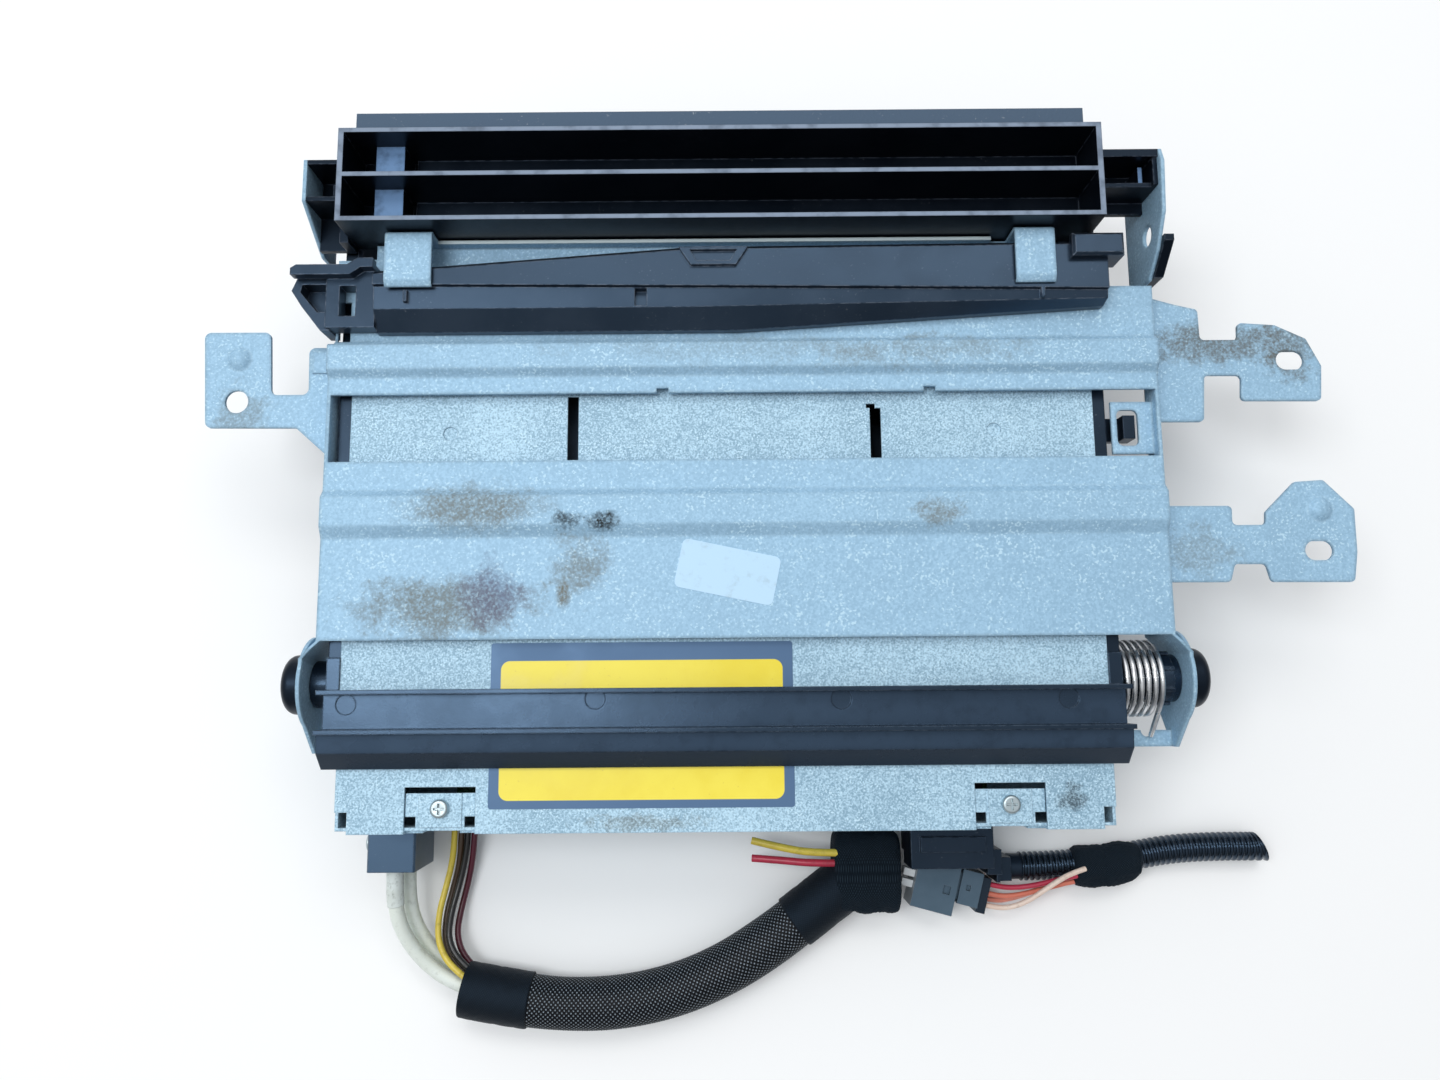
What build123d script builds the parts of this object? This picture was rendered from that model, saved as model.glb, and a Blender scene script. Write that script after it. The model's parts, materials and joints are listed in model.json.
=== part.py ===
from build123d import *
import math
import os

# Multi disc changer with its hinged mounting bracket.
# Millimetres.  +Z up, the magazine slides out towards -Y, the origin is the centre
# of the case's bottom face.  Seen from above with the front at the top, +X is left.

# ---------------------------------------------------------------- driving dimensions
CASE_W = 252.0            # width of the changer case
CASE_FRONT = -98.0        # Y of the case's front wall
CASE_REAR = 95.0          # Y of the case's rear wall
CASE_H = 62.0             # height of the closed case
SHEET = 1.0               # case sheet thickness

RAIL_T = 4.4              # plastic carrier rail beside the case
RAIL_Z0 = 6.0             # underside of the rails
BRACKET_T = 1.2           # bracket sheet thickness
BRACKET_LIFT = 2.8        # air between the case's top and the bracket
BRACKET_REAR = 34.0       # Y of the bracket's rear edge
LEFT_BAY = 1.4            # rail to bracket wall, hinge side without spring
SPRING_BAY = 15.6         # rail to bracket wall on the spring side
WALL_DROP = 9.0           # height of the bracket's side walls
FLANGE_UP = 4.0           # height of the bracket's front flange above its top
RIDGE_H = 2.2             # height of the pressed ridges
WINDOW_FRONT = -48.5      # Y of the window between the two bands
WINDOW_REAR = -25.5

PIVOT_Y = 48.0            # hinge between bracket and changer
PIVOT_Z = 50.0
ARM_R = 16.0              # round end of the bracket's arms
ARM_STEP = 4.8            # outward joggle of the arms
PIN_D = 8.0               # hinge pin
PIN_CAP_D = 20.0
PIN_CAP_T = 8.0
HUB_D = 16.0              # crossbar hub that the pin is pressed into
RUN = 0.05                # radial running clearance
SEAT = 0.02               # radial clearance of a fixed pin in its seat

SPRING_WIRE = 1.8
SPRING_R = 12.1           # coil centre line radius
SPRING_PITCH = 2.3
SPRING_QUARTERS = 22      # quarter turns of the coil
SPRING_LEG = 15.0         # straight end on the bracket's foot
SPRING_SIDE_GAP = 1.1     # crossbar to the first turn's centre line
SPRING_SHORT_LEG = 6.5

BEZEL_DEPTH = 32.3        # front frame, front to back
BEZEL_WALL = 1.5          # its three long walls
BEZEL_END = 1.8           # its end walls
BEZEL_TOP = 23.0          # top of the front frame above the case's top
BEZEL_FLOOR = 3.5         # pocket floor above the case's top
BEZEL_GAP = 3.75          # case front to the frame's rear wall
BEZEL_Z0 = 2.0            # underside of the frame
TRIM_W = 241.0            # textured front panel
TRIM_T = 2.2
TRIM_DEPTH = 5.55
TRIM_WALL = 1.8
TRIM_TOP = 22.0           # top of the panel above the case's top

TRAYS = 6
TRAY_X = 122.0            # tray along its travel
TRAY_Y = 124.0
TRAY_T = 1.4
TRAY_PITCH = 5.2
TRAY_TRAVEL = 108.0
TRAY_U = 28.0             # half width of the tray's centre opening
DISC_R = 60.5             # recess for one disc
MAG_WALL = 1.6
MAG_SIDE = 8.4            # magazine to the case's side
MAG_TRAVEL = 188.0
MAG_CLEAR = 1.0           # magazine to the edge of the front openings
LEDGE_GAP = 0.3           # tray to the ledge below it

CHASSIS_Z = 3.0           # underside of the drive chassis
CHASSIS_T = 1.2
DECK_Z = 12.0             # underside of the playing deck at its lowest
DECK_R = 25.0             # half width and end radius of the deck
SEAT_H = 9.0              # disc seat above the deck's underside
SLED_TRAVEL = 34.0
POST_D = 3.0
LIFT_SCREW_D = 4.0
FEED_SCREW_D = 2.5
ROD_D = 2.0

BUTTON_X = -24.0          # eject button
BUTTON_Z = 34.0
BUTTON_W = 11.2
BUTTON_H = 7.2
BUTTON_GAP = 0.4
BUTTON_TRAVEL = 2.5

LATCH_GAP = 0.3           # latch bar to the bracket and its hooks
HOOK_UNDER = 10.8         # underside of the hooks above the bracket's top
LATCH_TRAVEL = 4.0

SCREW_D = 3.0             # cover screws
HEAD_D = 6.0
HEAD_H = 2.0

WHITE_D = 5.3             # two white signal leads
SUPPLY_D = 2.3            # four loose supply wires
LOOM_D = 18.2             # braided loom
STUB_D = 2.7              # two cut wires
SIGNAL_D = 1.9            # four thin wires
CONDUIT_D = 10.4          # ribbed conduit, over the ribs
CONDUIT_VALLEY = 8.8
CONDUIT_BORE = 7.2
CONDUIT_PITCH = 2.1

# ---------------------------------------------------------------- derived places
HALF = CASE_W / 2
RAIL_OUT = HALF + RAIL_T
LEFT_IN = RAIL_OUT + LEFT_BAY
LEFT_OUT = LEFT_IN + BRACKET_T
RIGHT_IN = -(RAIL_OUT + SPRING_BAY)
RIGHT_OUT = RIGHT_IN - BRACKET_T
LEFT_ARM = LEFT_OUT + ARM_STEP
RIGHT_ARM = RIGHT_OUT - ARM_STEP - BRACKET_T
PLATE_Z0 = CASE_H + BRACKET_LIFT
PLATE_Z = PLATE_Z0 + BRACKET_T
WALL_Z0 = PLATE_Z - WALL_DROP
FLANGE_Y = CASE_FRONT - 3.2
BEZEL_REAR = CASE_FRONT - BEZEL_GAP
BEZEL_FRONT = BEZEL_REAR - BEZEL_DEPTH
BEZEL_Z = CASE_H + BEZEL_TOP
POCKET_Z = CASE_H + BEZEL_FLOOR
TRIM_FRONT = BEZEL_FRONT - TRIM_DEPTH
TRIM_Z = CASE_H + TRIM_TOP

MAG_X1 = HALF - MAG_SIDE
TRAY_X1 = MAG_X1 - MAG_WALL - LEDGE_GAP
TRAY_X0 = TRAY_X1 - TRAY_X
MAG_X0 = TRAY_X0 - 0.7
MAG_Y0 = CASE_FRONT + SHEET
TRAY_Y0 = MAG_Y0 + MAG_WALL + 1.3
TRAY_Y1 = TRAY_Y0 + TRAY_Y
MAG_Y1 = TRAY_Y1 + 1.3 + MAG_WALL
TRAY_Z = DECK_Z + SEAT_H - 0.6
MAG_Z0 = TRAY_Z - 1.2 - MAG_WALL
TRAY_TOP = TRAY_Z + (TRAYS - 1) * TRAY_PITCH + TRAY_T
MAG_Z1 = TRAY_TOP + 1.4 + MAG_WALL
PLAY_X = TRAY_X0 + TRAY_X / 2 - TRAY_TRAVEL
PLAY_Y = TRAY_Y0 + TRAY_Y / 2
LIFT_TRAVEL = (TRAYS - 1) * TRAY_PITCH
CHASSIS_TOP = CHASSIS_Z + CHASSIS_T
CARRIAGE_X0 = -HALF + SHEET + 0.8
CARRIAGE_X1 = CARRIAGE_X0 + 4.4
LIFT_SCREW_X = CARRIAGE_X0 + 12.2
LIFT_SCREW_Y = MAG_Y1 + 11.0

pieces = {}


# ---------------------------------------------------------------- helpers
def block(x0, x1, y0, y1, z0, z1):
    """A box from its lowest to its highest corner."""
    size = (abs(x1 - x0), abs(y1 - y0), abs(z1 - z0))
    centre = ((x0 + x1) / 2, (y0 + y1) / 2, (z0 + z1) / 2)
    return Pos(*centre) * Box(*size)


def rod(start, end, radius):
    """A round bar between two points."""
    start = Vector(*start)
    way = Vector(*end) - start
    plane = Plane(origin=start, z_dir=way.normalized())
    return extrude(plane * Circle(radius), amount=way.length)


def slab(points, z0, z1, radius=0.0):
    """A flat plate with the outline given in X and Y, its corners rounded."""
    outline = Polyline(*points, close=True)
    face = make_face(outline)
    if radius:
        face = fillet(face.vertices(), radius)
    return Pos(0, 0, z0) * extrude(face, amount=z1 - z0)


def bar_x(points, x0, x1):
    """A bar along X whose section is given in Y and Z."""
    plane = Plane(origin=(x0, 0, 0), x_dir=(0, 1, 0), z_dir=(1, 0, 0))
    face = plane * make_face(Polyline(*points, close=True))
    return extrude(face, amount=x1 - x0)


def mirror_x(shape):
    """The same shape on the other side of the middle."""
    return mirror(shape, about=Plane.YZ)


def keep(name, *solids):
    """Files the solids of one node under its name."""
    pieces[name] = list(solids)


def bend_radii(points):
    """The largest smooth radius that each corner of a route allows."""
    radii = []
    for before, corner, after in zip(points, points[1:], points[2:]):
        first = Vector(*corner) - Vector(*before)
        second = Vector(*after) - Vector(*corner)
        half_turn = math.radians(first.get_angle(second)) / 2
        shorter = min(first.length, second.length)
        radii.append(0.45 * shorter / math.tan(half_turn))
    return radii


def cord(label, points, diameter):
    """A tube along straight runs joined by tangent arcs."""
    radii = bend_radii(points)
    path = FilletPolyline(*points, radius=radii)
    start = Vector(*points[0])
    way = (Vector(*points[1]) - start).normalized()
    section = Plane(origin=start, z_dir=way) * Circle(diameter / 2)
    tube = sweep(section, path=path)
    filled = tube.volume / (math.pi * (diameter / 2) ** 2 * path.length)
    print(f"{label}: length {path.length:.1f}, least radius {min(radii):.1f} = "
          f"{min(radii) / diameter:.1f} d, volume / (section x length) {filled:.4f}")
    return tube


def biarc(start, leaving, end, arriving):
    """Two arcs that join two points with the given directions there."""
    way = end - start
    both = leaving + arriving
    bend = 2 * (1 - leaving.dot(arriving))
    reach = (math.sqrt(way.dot(both) ** 2 + bend * way.dot(way)) - way.dot(both)) / bend
    first = start + leaving * reach
    second = end - arriving * reach
    middle = (first + second) * 0.5
    across = (second - first).normalized()
    return [Edge.make_tangent_arc(start, leaving, middle),
            Edge.make_tangent_arc(middle, across, end)]


# ---------------------------------------------------------------- the case
PLUG_X0, PLUG_X1 = -93.0, -66.0     # socket and plug on the rear wall
PLUG_Z0, PLUG_Z1 = 7.6, 26.0
WIRE_X0, WIRE_X1 = 91.2, 102.2      # outlet of the loose supply wires
CLIP_X, CLIP_Y = 92.1, 88.0         # cover screws
CLIP_W = 23.0                       # cut-outs round them
CLIP_SLOT = 2.0                     # open slot along each cut-out's front edge


def case_base():
    """Folded bottom tray with four walls and two tabs for the cover screws."""
    top = CASE_H - SHEET
    tray = block(-HALF, HALF, CASE_FRONT, CASE_REAR, 0, top)
    tray -= block(-HALF + SHEET, HALF - SHEET, CASE_FRONT + SHEET, CASE_REAR - SHEET, SHEET, top)
    tray -= block(MAG_X0 - MAG_CLEAR, MAG_X1 + MAG_CLEAR, CASE_FRONT - 1, CASE_FRONT + SHEET + 0.5,
                  MAG_Z0 - MAG_CLEAR, MAG_Z1 + MAG_CLEAR)
    tray -= block(PLUG_X0, PLUG_X1, CASE_REAR - SHEET - 1, CASE_REAR + 1, PLUG_Z0, PLUG_Z1)
    tray -= block(WIRE_X0, WIRE_X1, CASE_REAR - SHEET - 1, CASE_REAR + 1, 4.0, 12.0)
    for side in (1, -1):
        middle = side * CLIP_X
        near = CLIP_Y - 6.8 + CLIP_SLOT
        far = CASE_REAR - SHEET
        wide = CLIP_W / 2 - 0.2
        tray += block(middle - wide, middle + wide, near, far, top - SHEET, top)
        tray -= block(middle - wide, middle - wide + 3.4, far - 3.4, far, top - SHEET, top)
        tray -= block(middle + wide - 3.4, middle + wide, far - 3.4, far, top - SHEET, top)
        tray += block(middle - 7, middle + 7, near, far, top, top + 0.4)
        tray -= rod((middle, CLIP_Y, top - 4), (middle, CLIP_Y, top + 1), SCREW_D / 2 + SEAT)
    for side in (1, -1):
        for row in range(5):
            vent = block(-9, 9, -1.1, 1.1, -1, SHEET + 1)
            tray -= Pos(side * 60, -60 + row * 7, 0) * vent
    keep("case_base", tray)


def case_top_cover():
    """Flat cover with a rear skirt, two slots, two dimples and the screw cut-outs."""
    cover = block(-HALF, HALF, CASE_FRONT, CASE_REAR + SHEET, CASE_H - SHEET, CASE_H)
    cover += block(-HALF, HALF, CASE_REAR, CASE_REAR + SHEET, CASE_H - 12, CASE_H)
    rear = CASE_REAR + SHEET + 1
    for side in (1, -1):
        middle = side * CLIP_X
        cover -= block(middle - CLIP_W / 2, middle + CLIP_W / 2, CLIP_Y - 6.8, rear, CASE_H - 3, CASE_H + 1)
        cover -= block(middle - 6, middle + 6, CASE_REAR - 1, rear, CASE_H - 13, CASE_H + 1)
        dimple = rod((middle, -35.8, CASE_H - 0.5), (middle, -35.8, CASE_H + 1), 2.4)
        cover -= dimple
        corner = block(side * HALF, side * (HALF - 4), CASE_REAR - 6, rear, CASE_H - 13, CASE_H + 1)
        cover -= corner
    cover -= block(48.7, 52.4, -48.4, -26.4, CASE_H - 2, CASE_H + 1)
    cover -= block(-53.9, -50.2, -43.7, -26.3, CASE_H - 2, CASE_H + 1)
    cover -= block(-52.0, -49.0, -45.2, -43.7, CASE_H - 2, CASE_H + 1)
    keep("case_top_cover", cover)


def cover_label():
    """Plain printed panel on the cover, under the rear crossbar."""
    corners = [(-22.5, 35.0), (76.5, 35.0), (76.5, 88.3), (-22.5, 88.3)]
    keep("cover_label", slab(corners, CASE_H, CASE_H + 0.2, 1.0))


def pan_screw(x, y, z, length):
    """Cross-recessed pan head screw, its head standing on height z."""
    head = Pos(x, y, z) * extrude(Circle(HEAD_D / 2), amount=HEAD_H)
    rim = head.edges().filter_by(GeomType.CIRCLE).sort_by(Axis.Z)[-1]
    head = fillet(rim, 0.9)
    shank = rod((x, y, z - length), (x, y, z), SCREW_D / 2)
    cross = block(x - 1.7, x + 1.7, y - 0.35, y + 0.35, z + HEAD_H - 1.1, z + HEAD_H + 1)
    cross += block(x - 0.35, x + 0.35, y - 1.7, y + 1.7, z + HEAD_H - 1.1, z + HEAD_H + 1)
    return head + shank - cross


# ---------------------------------------------------------------- carrier, front frame, crossbar
CHEEK_Y0 = PIVOT_Y - 8.5            # where the rails meet the crossbar's cheeks
CHEEK_Y1 = PIVOT_Y + 27.3
PEG_X = RIGHT_IN + 8.6              # peg that the bracket's guide slot drops over
PEG_Y = -36.0
GUIDE_Z0 = CASE_H - 1.0


def carrier_rails():
    """Plastic rails beside the case, with lightening pockets and the guide peg."""
    front = CASE_FRONT - 13.5
    top = CASE_H - SHEET
    rail = block(HALF, RAIL_OUT, front, CHEEK_Y0, RAIL_Z0, top)
    bay = (CHEEK_Y0 - front - 10) / 4
    for number in range(4):
        y0 = front + 5 + number * bay
        rail -= block(RAIL_OUT - 2.2, RAIL_OUT + 1, y0 + 2, y0 + bay - 2, RAIL_Z0 + 5, top - 7)
    keep("carrier_rail_left", rail)
    right = mirror_x(rail)
    right += block(-RAIL_OUT, PEG_X - 2, PEG_Y - 4, PEG_Y + 4, GUIDE_Z0 - 5, GUIDE_Z0 - 2)
    right += block(PEG_X - 2, PEG_X + 2, PEG_Y - 4, PEG_Y + 4, GUIDE_Z0 - 5, GUIDE_Z0 + 2.4)
    keep("carrier_rail_right", right)


def bezel_frame():
    """Front frame: three long walls over two open pockets, cheeks and a sill."""
    frame = block(-HALF, HALF, BEZEL_FRONT, BEZEL_REAR, CASE_H, BEZEL_Z)
    inner = HALF - BEZEL_END
    span = BEZEL_DEPTH - 3 * BEZEL_WALL
    step_x = inner - 19.0
    for row in (0, 1):
        y0 = BEZEL_FRONT + BEZEL_WALL + row * (span / 2 + BEZEL_WALL)
        y1 = y0 + span / 2
        frame -= block(-inner, step_x, y0, y1, POCKET_Z, BEZEL_Z + 1)
        frame -= block(step_x, inner, y0, y1, CASE_H + 1.5, BEZEL_Z + 1)
        frame += block(step_x + 1.6, step_x + 11.2, y0, y1, CASE_H + 1.5, CASE_H + 13.2)
        for number in range(4):
            x = 92.0 - number * 66.0
            y = y1 - 4.4
            frame -= rod((x, y, POCKET_Z - 0.3), (x, y, POCKET_Z + 1), 3.3)
    for side in (1, -1):
        frame += block(side * inner, side * HALF, BEZEL_FRONT, CASE_FRONT, BEZEL_Z0, CASE_H)
    frame += block(-HALF, HALF, BEZEL_FRONT, CASE_FRONT, BEZEL_Z0, BEZEL_Z0 + 2)
    keep("bezel_frame", frame)


def front_trim():
    """Textured front panel with the magazine opening and the button's hole."""
    half = TRIM_W / 2
    panel = block(-half, half, TRIM_FRONT, BEZEL_FRONT, BEZEL_Z0, TRIM_Z)
    panel -= block(-half + TRIM_WALL, half - TRIM_WALL, TRIM_FRONT + TRIM_T, BEZEL_FRONT,
                   BEZEL_Z0 + TRIM_WALL, TRIM_Z - TRIM_WALL)
    panel -= block(MAG_X0 - MAG_CLEAR, MAG_X1 + MAG_CLEAR, TRIM_FRONT - 1, BEZEL_FRONT + 1,
                   MAG_Z0 - MAG_CLEAR, MAG_Z1 + MAG_CLEAR)
    wide = BUTTON_W / 2 + BUTTON_GAP
    high = BUTTON_H / 2 + BUTTON_GAP
    panel -= block(BUTTON_X - wide, BUTTON_X + wide, TRIM_FRONT - 1, BEZEL_FRONT + 1,
                   BUTTON_Z - high, BUTTON_Z + high)
    keep("front_trim", panel)


def eject_button():
    """Sprung button, kept in by a flange behind the panel."""
    wide = BUTTON_W / 2
    high = BUTTON_H / 2
    back = TRIM_FRONT + TRIM_T
    cap = block(BUTTON_X - wide, BUTTON_X + wide, TRIM_FRONT - 2.8, back + 0.2, BUTTON_Z - high, BUTTON_Z + high)
    cap = fillet(cap.edges().filter_by(Axis.Y), 1.2)
    cap = chamfer(cap.faces().sort_by(Axis.Y)[0].edges(), 0.5)
    flange = block(BUTTON_X - wide - 1.4, BUTTON_X + wide + 1.4, back + 0.2, back + 1.2,
                   BUTTON_Z - high - 1.4, BUTTON_Z + high + 1.4)
    keep("eject_button", cap + flange)


BLOCK_L = 12.2                      # width of the left end block
BLOCK_R = 20.2                      # width of the right end block
BLOCK_Z = CASE_H + 17.0


def end_blocks():
    """Ribbed ends of the front frame, open above, that carry the side plates."""
    low = CASE_H + 1.0
    front = BEZEL_FRONT + 8.0
    left = block(HALF, HALF + BLOCK_L, front, front + 1.5, low, BLOCK_Z)
    left += block(HALF, HALF + BLOCK_L, front + 13.0, front + 14.5, low, BLOCK_Z)
    left += block(HALF, HALF + BLOCK_L, front, CASE_FRONT - 2.0, low, low + 2.0)
    left += block(HALF, HALF + 5, front + 6.5, front + 13.0, low, BLOCK_Z - 5)
    left += block(HALF, HALF + 3, front + 14.5, CASE_FRONT - 2.0, low, low + 9)
    front = BEZEL_FRONT + 7.0
    end = -HALF - BLOCK_R
    right = block(end, -HALF, front, front + 2.6, low, BLOCK_Z + 1)
    right += block(end, -HALF, front + 10.5, front + 12.0, low, BLOCK_Z - 2)
    right += block(end, -HALF, front, front + 16.0, low, low + 2.0)
    right += block(end, end + 1.6, front, front + 12.0, low, BLOCK_Z)
    right += block(end + 3.6, end + 5.0, front + 4.0, front + 10.5, low, BLOCK_Z - 4)
    low -= 11.0
    out = end - BRACKET_T
    boss = bar_x([(CASE_FRONT - 0.1, low), (CASE_FRONT - 0.1, BLOCK_Z - 1), (CASE_FRONT + 2, BLOCK_Z - 1),
                  (CASE_FRONT + 11, CASE_H + 6), (CASE_FRONT + 11, low)], out - 3.2, out)
    keep("bezel_end_blocks", left, right, boss)


def side_plates():
    """Zinc side plates on the end blocks, the right one with a screw hole."""
    x0 = HALF + BLOCK_L
    front = BEZEL_FRONT + 8.0
    low = CASE_H - 12.0
    outline = [(front, low), (front, BLOCK_Z), (front + 14.5, BLOCK_Z), (CASE_FRONT - 1.5, CASE_H - 2),
               (CASE_FRONT - 1.5, low)]
    keep("side_plate_left", bar_x(outline, x0, x0 + BRACKET_T))
    x1 = -HALF - BLOCK_R
    front = BEZEL_FRONT + 7.0
    outline = [(front, low), (front, BLOCK_Z + 1), (front + 5, BLOCK_Z + 3), (front + 22, BLOCK_Z + 1.5),
               (front + 33, BLOCK_Z - 5), (CASE_FRONT + 11.5, CASE_H + 4), (CASE_FRONT + 11.5, low)]
    plate = bar_x(outline, x1 - BRACKET_T, x1)
    hole_y = CASE_FRONT - 3.7
    hole_z = CASE_H + 5.4
    plate -= rod((x1 - 5, hole_y, hole_z), (x1 + 5, hole_y, hole_z), 3.5)
    keep("side_plate_right", plate)


def rear_crossbar():
    """Channel over the cover between two cheeks that carry the hinge hubs."""
    z0 = CASE_H + 0.6
    y = PIVOT_Y
    section = [(y + 1.9, z0), (y + 1.9, CASE_H + 9), (y + 3.4, CASE_H + 9), (y + 3.4, CASE_H + 2.2),
               (y + 14.5, CASE_H + 2.2), (y + 14.5, CASE_H + 10), (y + 16, CASE_H + 10),
               (y + 16, CASE_H + 7.2), (y + 22, CASE_H + 6.6), (CHEEK_Y1, CASE_H + 1.4), (CHEEK_Y1, z0)]
    bar = bar_x(section, -RAIL_OUT, RAIL_OUT)
    for x, dot_y in ((123.0, y + 6.6), (42.0, y + 5.4), (-38.0, y + 6.0), (-112.0, y + 6.2)):
        bar -= rod((x, dot_y, CASE_H + 1.9), (x, dot_y, CASE_H + 5), 3.3)
    for side in (1, -1):
        bar += block(side * HALF, side * RAIL_OUT, CHEEK_Y0, CHEEK_Y1 - 3, PIVOT_Z - 12, z0)
        bar += bar_x([(CHEEK_Y1 - 3, PIVOT_Z - 12), (CHEEK_Y1 - 3, z0), (CHEEK_Y1, z0),
                      (CHEEK_Y1 - 1, PIVOT_Z)], min(side * HALF, side * RAIL_OUT),
                     max(side * HALF, side * RAIL_OUT))
    left_end = LEFT_ARM - 0.3
    right_end = RIGHT_ARM + BRACKET_T + 0.3
    bar += rod((RAIL_OUT, y, PIVOT_Z), (left_end, y, PIVOT_Z), HUB_D / 2)
    bar += rod((-RAIL_OUT, y, PIVOT_Z), (right_end, y, PIVOT_Z), HUB_D / 2)
    for number in range(8):
        turn = math.radians(45 * number + 20)
        tip = Vector(0, math.cos(turn), math.sin(turn)) * (HUB_D / 2 + 0.8)
        rib = Pos(right_end + 4.6, y, PIVOT_Z) * Rot(math.degrees(turn), 0, 0) * Box(4.0, 1.4, 1.4)
        bar += Pos(0, tip.Y, tip.Z) * rib
    bar += rod((right_end + 2.6, y, PIVOT_Z), (right_end + 6.6, y, PIVOT_Z), HUB_D / 2 + 0.9)
    seat = PIN_D / 2 + SEAT
    bar -= rod((left_end - 6, y, PIVOT_Z), (left_end + 1, y, PIVOT_Z), seat)
    bar -= rod((right_end + 6, y, PIVOT_Z), (right_end - 1, y, PIVOT_Z), seat)
    keep("rear_crossbar", bar)


def pivot_pins():
    """Capped hinge pins, pressed into the crossbar's hubs through the bracket's arms."""
    y = PIVOT_Y
    for name, arm, way in (("pivot_pin_left", LEFT_ARM, 1), ("pivot_pin_right", RIGHT_ARM + BRACKET_T, -1)):
        start = arm - way * (0.3 + 6)
        under = arm + way * (BRACKET_T + 0.3)
        cap = rod((under, y, PIVOT_Z), (under + way * PIN_CAP_T, y, PIVOT_Z), PIN_CAP_D / 2)
        rim = cap.edges().filter_by(GeomType.CIRCLE).sort_by(Axis.X)[-1 if way > 0 else 0]
        cap = fillet(rim, 3.2)
        shaft = rod((start, y, PIVOT_Z), (under + way, y, PIVOT_Z), PIN_D / 2)
        keep(name, cap + shaft)


# ---------------------------------------------------------------- the hinged bracket
FOOT_Y0, FOOT_Y1 = PIVOT_Y + 17.5, PIVOT_Y + 23.0
FOOT_Z = PIVOT_Z - 5.0


def bracket_sheet():
    """Two bands with pressed ridges, a front flange and down-turned side walls."""
    low, top, up = PLATE_Z0, PLATE_Z, PLATE_Z + RIDGE_H
    t = BRACKET_T
    flange = [(FLANGE_Y, low), (FLANGE_Y, top + FLANGE_UP), (FLANGE_Y + t, top + FLANGE_UP), (FLANGE_Y + t, top),
              (-67.2, top), (-65.2, up), (-57.0, up), (-54.4, top), (WINDOW_FRONT, top), (WINDOW_FRONT, low),
              (-55.0, low), (-57.5, up - t), (-64.7, up - t), (-66.7, low)]
    band = [(WINDOW_REAR, low), (WINDOW_REAR, top), (-15.7, top), (-13.2, up), (-3.6, up), (0.4, top),
            (BRACKET_REAR, top), (BRACKET_REAR, low), (-0.1, low), (-4.1, up - t), (-12.7, up - t), (-15.2, low)]
    sheet = bar_x(flange, RIGHT_OUT, LEFT_OUT) + bar_x(band, RIGHT_OUT, LEFT_OUT)
    sheet += block(LEFT_IN, LEFT_OUT, -66, BRACKET_REAR, WALL_Z0, top)
    sheet += block(RIGHT_OUT, RIGHT_IN, CASE_FRONT + 13.2, BRACKET_REAR, WALL_Z0, top)
    front = FLANGE_Y - 1
    sheet -= block(LEFT_IN - 0.8, LEFT_OUT + 1, front, -66, WALL_Z0 - 1, up + 9)
    sheet -= block(118, LEFT_OUT + 1, front, CASE_FRONT + 2, WALL_Z0 - 1, up + 9)
    sheet -= block(RIGHT_OUT - 1, -113, front, CASE_FRONT + 13.2, WALL_Z0 - 1, up + 9)
    sheet -= block(HOOK_X[0][0], LEFT_OUT, front, FLANGE_Y + t, top, up + 9)
    sheet -= block(RIGHT_OUT, -92, front, FLANGE_Y + t, top, up + 9)
    sheet -= block(126, 130.2, -81, -67, low - 1, top + 1)
    sheet -= block(18, 22, WINDOW_FRONT - 1.6, WINDOW_FRONT + 1, low - 1, top + 1)
    sheet -= block(-72, -68, WINDOW_FRONT - 1.6, WINDOW_FRONT + 1, low - 1, top + 1)
    sheet += guide_plate()
    sheet += bracket_arm(LEFT_IN, LEFT_ARM, False)
    sheet += bracket_arm(RIGHT_OUT, RIGHT_ARM, True)
    keep("bracket_sheet", sheet)


def guide_plate():
    """Small lowered tab with the slot that drops over the carrier's peg."""
    plate = block(RIGHT_IN, RIGHT_IN + 14, PEG_Y - 9, PEG_Y + 9, GUIDE_Z0, GUIDE_Z0 + BRACKET_T)
    slot = block(PEG_X - 3.6, PEG_X + 3.6, PEG_Y - 6.2, PEG_Y + 6.2, GUIDE_Z0 - 1, GUIDE_Z0 + 3)
    slot = fillet(slot.edges().filter_by(Axis.Z), 2.0)
    return plate - slot


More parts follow.
